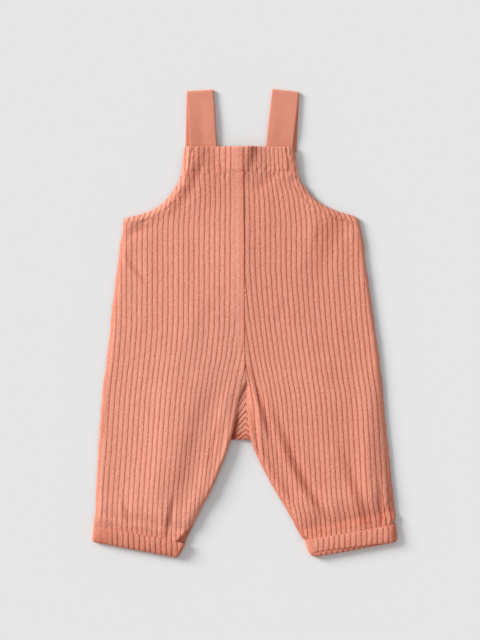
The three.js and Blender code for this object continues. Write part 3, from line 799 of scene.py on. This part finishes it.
def along_wale(half, chest, y):
    """Where a thread lies at a height, named by its distance from the seam at the chest."""
    near_seam = LEAN_AT_SEAM[half] * np.exp(-np.abs(chest) / LEAN_REACH)
    lean = read_table(LEG_LEAN, y, half) * (1.0 + near_seam)
    return chest + lean + read_table(BIB_SPREAD, y, half) * (chest - SEAM_GAP / 2.0)


def thread_at(half, o, y):
    """The thread that runs through a place: the inverse of along_wale, by repeated guesses."""
    chest = np.array(o, dtype=float)
    for _ in range(12):
        chest = chest + (o - along_wale(half, chest, y)) * 0.8
    return chest


outlines = {
    half: pattern_outline(half, BIB_TOP, CROTCH_TOP, 0.0, lambda y: seam_edge(half, y))
    for half in SIDES
}


def edge_parts(half):
    """The armhole edge, the whole side with its armhole, and the inner edge of the leg."""
    line, _ = outlines[half]
    armhole = line[(line[:, 1] > ARMPIT) & (line[:, 0] > 40.0)]
    side = line[line[:, 0] > 40.0]
    side = side[side[:, 1] > hem_height(half, side[:, 0]) + 0.5]
    inner = line[(line[:, 1] < CROTCH_TOP) & (line[:, 0] < 80.0)]
    return armhole, side, inner


def measure_from(half, o, y):
    """How far places on a front are from its armhole, side, inner edge, hem and seam."""
    armhole, side, inner = edge_parts(half)
    spots = np.stack([o, y], axis=1)
    far = {
        "armhole": nearest_on(armhole, spots, closed=False, reach=30.0)[0],
        "side": nearest_on(side, spots, closed=False, reach=110.0)[0],
        "inner": nearest_on(inner, spots, closed=False, reach=110.0)[0],
        "hem": y - hem_height(half, o),
        "seam": o - seam_edge(half, y),
    }
    far["edge"] = np.minimum(far["side"], far["inner"])
    return far


def fold_height(half, o, y):
    """Height of the creases, and the painted shade laid along them: darker colour on the steep flank of
    a bank and in a soft trough.

    A soft crease is a round ridge or trough, and a bank falls steeply to its right.
    """
    total, painted_crease_shade = np.zeros_like(o), np.zeros_like(o)
    points = np.stack([SEAM_X + SIDES[half] * o, y], axis=1)
    for fold in FOLDS:
        path, width = np.array(fold["path"], float), fold["width"]
        reach = FOLD_REACH * width
        away, foot, out = nearest_on(path[:, :2], points, closed=False, reach=reach)
        near = swell(away, width) - swell(reach, width)
        form = near
        if fold["kind"] == "bank":
            form = near * BANK_STEEPNESS * ((points - foot) * out).sum(1) / width
        steps = np.concatenate([[0.0], np.cumsum(np.hypot(*np.diff(path[:, :2], axis=0).T))])
        run = foot_run(path[:, :2], foot, steps)
        height = np.interp(run, steps, path[:, 2])
        total = total + form * height
        # Painted shade: a bank's falling flank and a soft crease's trough get darker colour
        pressed = height if fold["kind"] == "bank" else -0.5 * height
        painted_crease_shade = painted_crease_shade + near * near * np.maximum(pressed, 0.0)
    return total, painted_crease_shade


def foot_run(path, foot, steps):
    """How far along a path the places on it lie."""
    along = path[-1] - path[0]
    corners = path @ along
    return np.interp(foot @ along, corners, steps)


def bib_hem_row(o):
    """Height of the row of stitches under the bib's turned hem."""
    return BIB_HEM + 0.8 * uneven(o, o * 0.0, 19.0, 11)


def sewn_rows(half, o, y, far):
    """How near a place is to a row of stitches, from 0 to 1, and to the cloth it gathers."""
    hem = np.abs(y - bib_hem_row(o))
    armhole_row = np.where(y > ARMPIT - 5.0, far["armhole"] - ARMHOLE_HEM, 30.0)
    nearest = np.minimum(np.abs(armhole_row), hem)
    row = swell(nearest, 0.9) * np.where(hem < np.abs(armhole_row), 0.6, 1.0)
    gather = swell(np.minimum(np.abs(armhole_row + 1.5), hem * 0.8), 6.5)
    from_side_seam = o - read_table(SIDE_EDGE, y, half)
    if half == "left":
        on_seam = swell(far["seam"] - SEAM_STITCH, 0.6)
        row = np.maximum(row, 0.9 * on_seam * (y > SEAM_STITCH_END))
        low_seam = swell(from_side_seam + SIDE_STITCH, 0.9)
        row = np.maximum(row, low_seam * smooth((SIDE_STITCH_TOP - y) / 8.0))
    else:
        low = smooth((SIDE_PUCKERS["top"] - y) / 20.0)
        for inside, width in SIDE_PUCKERS["rows"]:
            row = np.maximum(row, low * swell(from_side_seam + inside, width))
        puckered = swell(from_side_seam + SIDE_PUCKERS["middle"], 6.0)
        gather = np.maximum(gather, low * puckered)
    return row * (1.0 + 0.45 * uneven(o, y * 0.5, 6.0, 14)), gather


def puffed_side(half, o, y):
    """Where the right leg's side stands off the surface, from 0 to 1."""
    side = PUFFED_SIDE
    below = smooth((side["top"] - y) / side["top_fade"])
    return below * smooth((o - side["from"]) / side["from_fade"]) * (half == "right")


def front_lift(half, w, o, y, far, folds):
    """How high a front stands over its rest: loft, creases, inseam pleat and blousing."""
    edge, hem, fall = far["edge"], far["hem"], BLOUSE_FALL[half]
    in_bib = smooth((y - BIB_FOOT) / BIB_FADE)
    puffed = puffed_side(half, o, y)
    side_reach = LOFT_REACH[half] + (LOFT_REACH["puffed"] - LOFT_REACH[half]) * puffed
    inner_reach = LOFT_REACH["creased" if half == "left" else "inner"]
    inward = np.minimum(far["side"] / side_reach, far["inner"] / inner_reach)
    loft = (LOFT + PUFFED_SIDE["rise"] * puffed) * (1.0 - np.exp(-(inward**LOFT_CURVE)))
    loft = loft + DOME * (1.0 - swell(edge, DOME_REACH))
    slack = 0.25 * uneven(w, y * 0.2, 13.0, 21) + 0.4 * uneven(w, y * 0.5, 37.0, 22)
    slack = slack * smooth(edge / 14.0) + folds * smooth(edge / 7.0)
    opening = smooth((PLEAT_TOP - y) / 30.0) * smooth((y - PLEAT_END[half]) / 40.0)
    from_pleat = np.maximum(0.0, o - inner_edge(half, y))
    pleat = PLEAT_LIFT[half] * opening * swell(from_pleat, PLEAT_REACH)
    if half == "left":
        turned = smooth((EDGE_TURN["top"] - y) / 22.0) * smooth((y - EDGE_TURN["end"]) / 24.0)
        turned = turned * swell(far["inner"], EDGE_TURN["reach"])
        pleat = pleat + EDGE_TURN["rise"] * turned
        pleat = pleat * (1.0 - np.exp(-((far["inner"] / LOFT_REACH["creased"]) ** LOFT_CURVE)))
    above = hem - BLOUSE_START
    blouse = BLOUSE * swell(above - 0.8 * fall, 0.4 * fall) * smooth(edge / 8.0)
    free = HEM_SLACK + (1.0 - HEM_SLACK) * smooth(above / fall)
    raised = free * (loft * (1.0 - in_bib) + slack) + BIB_LIFT * in_bib + pleat + blouse
    return np.maximum(raised, 0.0)


def seam_band(half, y, far):
    """The seam allowance under the left front: its rise, its smoothness, a painted highlight on the
    band and the dark seam line.
    """
    above_crotch = smooth((y - CROTCH_TOP) / SEAM_FADE)
    if half == "right":
        rise = (SEAM_BAND_RISE - SEAM_STEP) * swell(far["seam"], 8.0)
        return rise * above_crotch, 0.0, 0.0
    rise = SEAM_BAND_RISE * (1.0 - smooth(far["seam"] / 9.0)) * above_crotch
    flat = 1.0 - smooth((far["seam"] - SEAM_BAND + 0.6) / 1.2)
    flat = flat * smooth((y - SEAM_BAND_END) / 25.0)
    # Painted highlight: the smooth band is painted lighter, most beyond its row of stitches; the seam
    # line itself is darker
    tone = flat * (0.05 + 0.2 * smooth((far["seam"] - SEAM_STITCH) / 1.0))
    return rise, flat, tone - 0.5 * swell(far["seam"], 0.7) * above_crotch


def corner_fold(half, o, y, rib, far):
    """Drop of the leg's corner beyond its scalloped fold at the cuff, and the fold's ridge."""
    if half != CORNER_FOLD["half"]:
        return 0.0, 0.0
    top, bottom = np.array(CORNER_FOLD["top"]), np.array(CORNER_FOLD["bottom"])
    along = (bottom - top) / np.hypot(*(bottom - top))
    beyond = (o - top[0]) * along[1] - (y - top[1]) * along[0] + 0.9 * (rib - 0.5)
    drop = CORNER_FOLD["drop"] * smooth(beyond / 1.2) * (far["hem"] < 40.0)
    return drop, 0.8 * swell(beyond, 5.0) * (beyond < 0.0)


def round_over(share, fullness=2.0):
    """Height of a rounded edge from 0 at the rim to 1, by the share of its width."""
    return np.sqrt(1.0 - (1.0 - np.clip(share, 0.0, 1.0)) ** fullness)


def rounded_rim(half, o, y, far):
    """How far a front has rounded up from its rim, sooner at a creased or hanging edge."""
    edge = np.minimum(far["edge"], BIB_TOP - y + 0.6)
    sharp = far["inner"] if half == "left" else far["side"] + 30.0 * puffed_side(half, o, y)
    edge = np.where(sharp < 4.0, np.maximum(edge, np.minimum(2.0 * sharp, edge * 2.0)), edge)
    return round_over(edge / EDGE_ROUND)


def painted_half_shade(half, y):
    """Painted shade: the right front, on the side away from the light, is painted a little darker, more
    so down the leg; the left front is darker towards the top of the bib.
    """
    if half == "left":
        return 0.015 - 0.08 * smooth((y - 105.0) / 45.0)
    return -0.065 - 0.04 * smooth((-60.0 - y) / 60.0)


def front_shape(half, w, o, y):
    """Top, underside, wale count, show of the ribs and base tone of a front half."""
    far = measure_from(half, o, y)
    folds, painted_crease_shade = fold_height(half, o, y)
    lift = front_lift(half, w, o, y, far, folds)
    under = FRONT_REST + leg_lift(half, o, y, 4.0) + lift
    row, gather = sewn_rows(half, o, y, far)
    # The band's tone is a painted highlight on the smooth seam band, plus the dark line of the seam
    rise, flat, painted_band_highlight_and_seam_line = seam_band(half, y, far)
    rounded = rounded_rim(half, o, y, far)
    off_cuff = smooth((far["hem"] - CUFF_COVER + 3.0) / 1.5)
    near_cuff = swell(far["hem"] - CUFF_MEETS, 7.0)
    # Towards the outer end of the left leg above the cuff, the cloth is raised, plainer and lighter
    mottle_and_plain_corner = smooth((o - PLAIN_CORNER_SIDE) / 8.0) * near_cuff * (half == "left")

    in_armhole_hem = np.clip(ARMHOLE_HEM - far["armhole"], 0.0, ARMHOLE_HEM) * (y > ARMPIT - 6.0)
    above_hem = smooth((y - BIB_HEM + 1.0) / 2.0)
    lean = 0.28 * in_armhole_hem + 0.8 * above_hem * uneven(w, y * 0.0, 16.0, 23)
    lean = lean + 0.75 * gather * uneven(w, y, 4.2, 24)
    wale = wale_count(w + lean, y, WALE_START[half])
    rib = rib_profile(wale)
    show = np.where(y > ARMPIT - 2.0, 1.0, smooth((far["side"] - 2.2) / 2.4))
    show = show * smooth((far["inner"] - 1.2) / 2.0) * (1.0 - 0.3 * row) * (1.0 - 0.9 * flat)

    depth = 1.0 + 0.45 * gather + 0.35 * near_cuff
    relief = RIB_HEIGHT * depth * (rib * show + 0.7 * (1.0 - show)) * (0.4 + 0.6 * rounded)
    crimp = 0.6 * gather * uneven(w * 1.2, y, 3.6, 25) + 0.14 * uneven(w, y, 2.8, 26)
    pillow = 0.45 * np.sin(math.pi * in_armhole_hem / ARMHOLE_HEM)
    drop, ridge = corner_fold(half, o, y, rib, far)
    relief = relief + (crimp + pillow) * rounded + rise - 0.4 * row + ridge
    relief = relief * (1.0 - 0.5 * mottle_and_plain_corner) + 1.2 * mottle_and_plain_corner
    on_cuff = 0.8 * swell(far["hem"] - CUFF_COVER, 4.0) * (half == "right")
    relief = (relief + on_cuff * smooth(far["edge"] / 4.0)) * off_cuff - drop
    cloth = CLOTH_EDGE + (CLOTH - CLOTH_EDGE) * rounded
    over = under + np.maximum(cloth + relief, 0.45)

    show = show * (1.0 - 0.75 * mottle_and_plain_corner)
    # Painted shade on the leg just above the cuff, where the cuff's step shades it
    painted_shade_above_cuff = swell(far["hem"] - SHADE_ABOVE_CUFF_PLACE[half], 0.3 * SHADE_ABOVE_CUFF_PLACE[half] + 2.0)
    # The half's tone is painted shade: the right front is painted darker than the left
    base = 0.68 * (1.0 - show) - 0.2 * row + painted_band_highlight_and_seam_line + 0.15 * mottle_and_plain_corner + painted_half_shade(half, y)
    base = base - PAINTED_SHADE_ABOVE_CUFF[half] * painted_shade_above_cuff
    # Painted shade along the creases, darker on their shaded flanks and in their troughs
    base = base - PAINTED_CREASE_SHADE * np.clip(painted_crease_shade, 0.0, 1.2) * off_cuff
    # Painted shade on the leg's corner that drops beyond the fold at the cuff
    painted_corner_dimming = 1.0 - 0.6 * np.clip(drop / 2.0, 0.0, 1.0)
    return over, under, wale, show * painted_corner_dimming, base * painted_corner_dimming


def make_front(half):
    """One front half, cut with scalloped edges and laid over the back."""
    line, corners = outlines[half]
    armhole, _, _ = edge_parts(half)
    spacing = WALE / THREADS_PER_WALE
    grid = {
        "first": SEAM_GAP / 2.0 + FRONT_FIRST_THREAD * spacing,
        "spacing": spacing,
        "columns": FRONT_COLUMNS,
        "low": PATTERN_END,
        "high": BIB_TOP,
        "rows": int((BIB_TOP - PATTERN_END) / FRONT_GRID_STEP),
    }

    def scallop(feet):
        """The ribs end in bumps along the armhole and the bib, and sewn edges wander."""
        o, y = feet[:, 0], feet[:, 1]
        w = thread_at(half, o, y)
        rise = rib_profile(wale_count(w + 0.28 * ARMHOLE_HEM, y, WALE_START[half]))
        on_armhole = nearest_on(armhole, feet, closed=False, reach=2.0)[0] < 0.8
        on_bib = (y > BIB_TOP - 0.8) & (o > 1.0)
        sewn = 0.35 * uneven(o, y, 6.0, 31) + 0.25 * uneven(o, y, 17.0, 32)
        sewn = sewn * (o > 3.0) * (y > hem_height(half, o) + 1.0)
        bumps = (0.95 + 0.3 * uneven(w, y * 0.3, 7.0, 33)) * rise - 0.5
        on_seam = (np.abs(o - seam_edge(half, y)) < 0.3) & (y > CROTCH_TOP - 1.0)
        return np.where(on_armhole | on_bib, bumps, np.where(on_seam, SEAM_CLOSE, sewn))

    bm = cut_cloth(line, corners, grid, lambda w, y: along_wale(half, w, y), scallop)
    piece = finish_cloth(
        bm,
        "front_panel_" + half,
        SEAM_X,
        SIDES[half],
        lambda w, o, y: front_shape(half, w, o, y),
        lambda o, y: thread_at(half, o, y),
    )
    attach(piece, "root")
    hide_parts("front_" + half)


for half in SIDES:
    make_front(half)


# Turned-up cuffs: the end of each leg is turned up once, with its ribs along the leg.
# The wall in front lies on the leg and the wall behind lies under it. They meet at the side
# seam and at the inseam, and the lower edge of each is a soft fold.
CUFF_GRID = (170, 26)
CUFF_WALL = 1.6
CUFF_RIB = 0.32
CUFF_WALE = 5.94
CUFF_LEVEL = FRONT_REST + LEG_LIFT + CLOTH + SEAM_GAP
CUFF_MIDDLE = 4.15
# Each cuff's tone and its inner-end and side-end values are painted shade and painted highlight on its
# front wall
CUFFS = {
    "left": {
        "inner": (62.3, -242.0),
        "side": (163.3, -221.8),
        "fold_inner": (70.5, -257.6),
        "fold_side": (165.2, -239.9),
        "round_inner": 3.5,
        "round_side": 2.5,
        "plain_inner": 2.0,
        "plain_side": 18.0,
        "slope_inner": 4.0,
        "slope_side": 15.0,
        "lip": 0.0,
        "rim": 0.0,
        "stands": 1.0,
        "tone": -0.15,
        "painted_light_inner": -0.06,
        "painted_light_side": -0.05,
    },
    "right": {
        "inner": (68.4, -238.3),
        "side": (168.6, -220.6),
        "fold_inner": (75.0, -257.6),
        "fold_side": (170.6, -240.0),
        "round_inner": 7.5,
        "round_side": 4.5,
        "plain_inner": 8.0,
        "plain_side": 3.0,
        "slope_inner": 11.0,
        "slope_side": 15.0,
        "lip": 5.0,
        "rim": 1.0,
        "stands": 0.2,
        "tone": -0.08,
        "painted_light_inner": 0.12,
        "painted_light_side": 0.2,
    },
}


def cuff_spread(half, along, down):
    """Places on a cuff wall, and how far they are from its ends, its top and its fold."""
    cuff = CUFFS[half]
    inner, side = np.array(cuff["inner"]), np.array(cuff["side"])
    fold_inner, fold_side = np.array(cuff["fold_inner"]), np.array(cuff["fold_side"])
    length = np.hypot(*(side - inner))
    far = {"inner": along * length, "side": (1.0 - along) * length}
    upper = inner + along[:, None] * (side - inner)
    lower = fold_inner + along[:, None] * (fold_side - fold_inner)
    depth = np.hypot(*(lower - upper).T)
    for end in ("inner", "side"):
        corner = cuff["round_" + end]
        short = 1.0 - np.clip(far[end] / corner, 0.0, 1.0)
        cut = corner * (1.0 - np.sqrt(1.0 - 0.98 * short**2))
        lower = lower + (upper - lower) * (cut / depth)[:, None]
    depth = np.hypot(*(lower - upper).T)
    far["top"], far["fold"] = down * depth, (1.0 - down) * depth
    place = upper + down[:, None] * (lower - upper)
    return place[:, 0], place[:, 1], far, length


def cuff_wales(half, w, far):
    """The count of wales along a cuff wall, and where its ribs show, away from its ends."""
    cuff = CUFFS[half]
    sway = 0.35 * uneven(w, far["top"], 7.0, 41) + 0.2 * uneven(w, far["top"], 3.1, 42)
    ribbed = smooth((far["inner"] - cuff["plain_inner"]) / 3.0)
    ribbed = ribbed * (0.25 + 0.75 * smooth((far["side"] - cuff["plain_side"]) / 4.0))
    return (w + sway) / CUFF_WALE, ribbed


def cuff_rounding(half, far):
    """How a cuff wall rounds off at its ends and at its fold, and where its two walls meet."""
    cuff = CUFFS[half]
    sloped = np.minimum(far["inner"] / cuff["slope_inner"], far["side"] / cuff["slope_side"])
    from_end = np.minimum(far["inner"], far["side"])
    closes = np.maximum(smooth((2.4 - from_end) / 0.8), smooth((1.3 - far["fold"]) / 0.6))
    return round_over(sloped, 2.4), round_over(far["fold"] / 5.0, 2.4), closes


def front_wall(half, along, down, w, far, wale, ribbed):
    """Top, underside, wale count, show of the ribs and base tone of a cuff's front wall."""
    cuff = CUFFS[half]
    round_end, round_fold, closes = cuff_rounding(half, far)
    blend = 1.0 - smooth((far["side"] - 14.0) / 8.0) if half == "left" else 0.0
    round_top = round_over((far["top"] + 0.15) / (1.4 + 8.0 * blend))
    lip = cuff["lip"] * np.clip(1.25 - 1.35 * along, 0.0, 1.0) * smooth(along / 0.08)
    on_lip = smooth((lip - far["fold"]) / 0.7) * (cuff["lip"] > 0.0)
    groove = swell(far["fold"] - lip, 0.6) * smooth(lip / 1.2)
    ribs = rib_profile(wale) * (1.0 - on_lip) + rib_profile(wale + 0.4) * on_lip
    show = ribbed * smooth((far["top"] - cuff["rim"]) / 0.7) * (1.0 - 0.8 * groove)
    # Painted shade: the wall is a little darker, darker towards its fold and in the groove above the
    # lip; each end is painted lighter or darker for how the light falls
    base = 0.68 * (1.0 - show) - 0.4 * groove + cuff["tone"] - 0.12 * smooth(down / 0.9)
    base = base + cuff["painted_light_inner"] * smooth((30.0 - far["inner"]) / 24.0)
    base = base - cuff["painted_light_side"] * smooth((16.0 - far["side"]) / 14.0)
    puff = 0.45 * np.sin(math.pi * down) + 0.35 * uneven(w, far["top"], 9.0, 43)
    relief = CUFF_RIB * (ribs * show + 0.6 * (1.0 - show)) - 0.55 * groove - 0.3 * on_lip
    top = CUFF_LEVEL + CUFF_WALL + relief + puff * smooth(far["top"] / 3.0)
    top = top + cuff["stands"] * (1.0 - down) - (1.0 + 1.5 * blend) * (1.0 - round_top)
    lowest = CUFF_MIDDLE + 0.6
    over = lowest + (top - lowest) * round_end * round_fold
    under = CUFF_LEVEL - (CUFF_LEVEL - CUFF_MIDDLE - 0.15) * closes
    return np.maximum(over, under + 0.5), under, wale + 0.4 * on_lip, show, base


def back_wall(half, far, wale, ribbed):
    """The same for the back wall, which lies pressed on the surface."""
    round_end, round_fold, closes = cuff_rounding(half, far)
    over = CUFF_WALL + (CUFF_MIDDLE - 0.15 - CUFF_WALL) * closes
    pressed = 0.6 * (1.0 - rib_profile(wale)) * ribbed
    under = pressed + 0.9 * (1.0 - round_end) + 1.2 * (1.0 - round_fold)
    return over, np.minimum(under, over - 0.6), wale, 0.0, 0.6


def make_cuff(half, face):
    """One wall of a turned-up cuff: a strip whose ends and fold are rounded."""
    bm = bmesh.new()
    bmesh.ops.create_grid(bm, x_segments=CUFF_GRID[0], y_segments=CUFF_GRID[1], size=0.5)
    mesh, along, down, on_top = thicken(bm, f"cuff_{half}_{face}_wall", -SIDES[half])
    along, down = along + 0.5, down + 0.5
    w, y, far, length = cuff_spread(half, along, down)
    wale, ribbed = cuff_wales(half, w, far)
    bumps = (rib_profile(wale) - 0.5) * ribbed
    y = y - 0.7 * bumps * np.clip(1.0 - far["fold"] / 2.0, 0.0, 1.0)
    if face == "front":
        over, under, wale, show, base = front_wall(half, along, down, w, far, wale, ribbed)
        open_rim = CUFFS[half]["rim"] == 0.0
        y = y + 0.8 * bumps * np.clip(1.0 - far["top"] / 2.0, 0.0, 1.0) * open_rim
    else:
        over, under, wale, show, base = back_wall(half, far, wale, ribbed)
    dress_mesh(mesh, w + 200.0, far["top"], wale, show, base, corduroy)
    piece = lay_out(mesh, SEAM_X + SIDES[half] * w, y, np.where(on_top, over, under))
    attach(piece, "root")
    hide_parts(f"cuff_{face}_{half}")


for half in SIDES:
    for face in ("front", "back"):
        make_cuff(half, face)


# Sewing: rows of lockstitch in thread of the cloth's own colour.
# They hold the bib's turned hem, the seam allowance beside the centre seam, the turned
# armholes and the end of the left side seam, and sink into the pile.
STITCH = 2.5
STITCH_STEP = 3.5
THREAD_RADIUS = 0.26

thread_material = bpy.data.materials.new("sewing thread")
thread_material.use_nodes = True
thread_shader = thread_material.node_tree.nodes["Principled BSDF"]
thread_shader.inputs["Base Color"].default_value = srgb(240, 172, 152)
thread_shader.inputs["Roughness"].default_value = 0.6


def stitch_row(bm, half, path):
    """A row of stitches along a path of places on a front half."""
    steps = np.hypot(*np.diff(path, axis=0).T)
    total = np.concatenate([[0.0], np.cumsum(steps)])
    starts = np.arange(1.0, total[-1] - STITCH, STITCH_STEP)
    ends = np.concatenate([starts, starts + STITCH])
    o, y = np.interp(ends, total, path[:, 0]), np.interp(ends, total, path[:, 1])
    height = front_shape(half, thread_at(half, o, y), o, y)[0] + 0.1
    world = np.stack([SEAM_X + SIDES[half] * o, y, height], axis=1) * MM
    for first, last in zip(world[: len(starts)], world[len(starts) :]):
        first, last = Vector(first), Vector(last)
        turn = (last - first).to_track_quat("Z", "Y").to_matrix().to_4x4()
        stretch = (last - first).length / (2.0 * THREAD_RADIUS * MM)
        place = Matrix.Translation((first + last) / 2.0) @ turn
        place = place @ Matrix.Diagonal((1.0, 1.0, stretch, 1.0))
        bmesh.ops.create_uvsphere(
            bm, u_segments=7, v_segments=5, radius=THREAD_RADIUS * MM, matrix=place
        )


def make_stitches(half):
    """All rows of stitches on one front half."""
    bm = bmesh.new()
    armhole, _, _ = edge_parts(half)
    _, feet, out = nearest_on(armhole, armhole, closed=False)
    armhole_row = (feet - out * ARMHOLE_HEM)[armhole[:, 1] > ARMPIT + 1.0]
    stitch_row(bm, half, armhole_row[armhole_row[:, 1] < BIB_HEM - 2.0])
    o = np.arange(3.0, float(read_table(SIDE_EDGE, BIB_HEM, half)) - 3.0, 1.0)
    stitch_row(bm, half, np.stack([o, bib_hem_row(o)], axis=1))
    if half == "left":
        y = np.arange(BIB_TOP - 3.0, SEAM_STITCH_END, -1.0)
        on_seam = seam_edge(half, y) + SEAM_STITCH + 0.2 * uneven(y, y * 0.0, 23.0, 12)
        stitch_row(bm, half, np.stack([on_seam, y], axis=1))
        y = np.arange(-175.0, -216.0, -1.0)
        on_side = read_table(SIDE_EDGE, y, half) - SIDE_STITCH
        stitch_row(bm, half, np.stack([on_side, y], axis=1))
    mesh = bpy.data.meshes.new("stitches_" + half)
    bm.to_mesh(mesh)
    bm.free()
    mesh.polygons.foreach_set("use_smooth", [True] * len(mesh.polygons))
    mesh.materials.append(thread_material)
    piece = bpy.data.objects.new(mesh.name, mesh)
    bpy.context.scene.collection.objects.link(piece)
    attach(piece, "root")


for half in SIDES:
    make_stitches(half)


# Table top, light and camera: a pale matt surface that the garment lies on, soft light from
# the upper left, and a camera straight above from far away, for a picture of 480 by 640.
TABLE_GREY = 0.757
TABLE_SIZE = 3.0
LIGHT_FROM = (-0.88, 0.47)
LIGHT_HEIGHT = math.radians(23.0)
LIGHT_SOFTNESS = math.radians(24.0)
LIGHT_STRENGTH = 3.95
ROOM_LIGHT = 0.555
PICTURE_SCALE = 1.1
PICTURE_HEIGHT = 640
PICTURE_MIDDLE = (-5.3, 3.6)
CAMERA_HEIGHT = 3.2
SENSOR = 24.0

floor_mesh = bpy.data.meshes.new("floor")
floor_bm = bmesh.new()
bmesh.ops.create_grid(floor_bm, x_segments=1, y_segments=1, size=TABLE_SIZE)
floor_bm.to_mesh(floor_mesh)
floor_bm.free()
floor = bpy.data.objects.new("floor", floor_mesh)
bpy.context.scene.collection.objects.link(floor)
paper = bpy.data.materials.new("pale table top")
paper.use_nodes = True
paper_shader = paper.node_tree.nodes["Principled BSDF"]
paper_shader.inputs["Base Color"].default_value = (TABLE_GREY, TABLE_GREY, TABLE_GREY, 1.0)
paper_shader.inputs["Roughness"].default_value = 0.95
paper_shader.inputs["Specular IOR Level"].default_value = 0.0
floor_mesh.materials.append(paper)

sun_data = bpy.data.lights.new("window light", "SUN")
sun_data.energy = LIGHT_STRENGTH
sun_data.angle = LIGHT_SOFTNESS
sun = bpy.data.objects.new("window light", sun_data)
toward = Vector((*LIGHT_FROM, math.tan(LIGHT_HEIGHT)))
sun.rotation_euler = toward.to_track_quat("Z", "Y").to_euler()
bpy.context.scene.collection.objects.link(sun)

world = bpy.data.worlds.new("studio")
world.use_nodes = True
world.node_tree.nodes["Background"].inputs["Color"].default_value = (1.0, 1.0, 1.0, 1.0)
world.node_tree.nodes["Background"].inputs["Strength"].default_value = ROOM_LIGHT
bpy.context.scene.world = world
bpy.context.scene.view_settings.view_transform = "Standard"

camera_data = bpy.data.cameras.new("camera")
camera_data.sensor_fit = "VERTICAL"
camera_data.sensor_height = SENSOR
camera_data.lens = SENSOR * CAMERA_HEIGHT / (PICTURE_HEIGHT * PICTURE_SCALE * MM)
camera = bpy.data.objects.new("camera", camera_data)
camera.location = (PICTURE_MIDDLE[0] * MM, PICTURE_MIDDLE[1] * MM, CAMERA_HEIGHT)
bpy.context.scene.collection.objects.link(camera)
bpy.context.scene.camera = camera
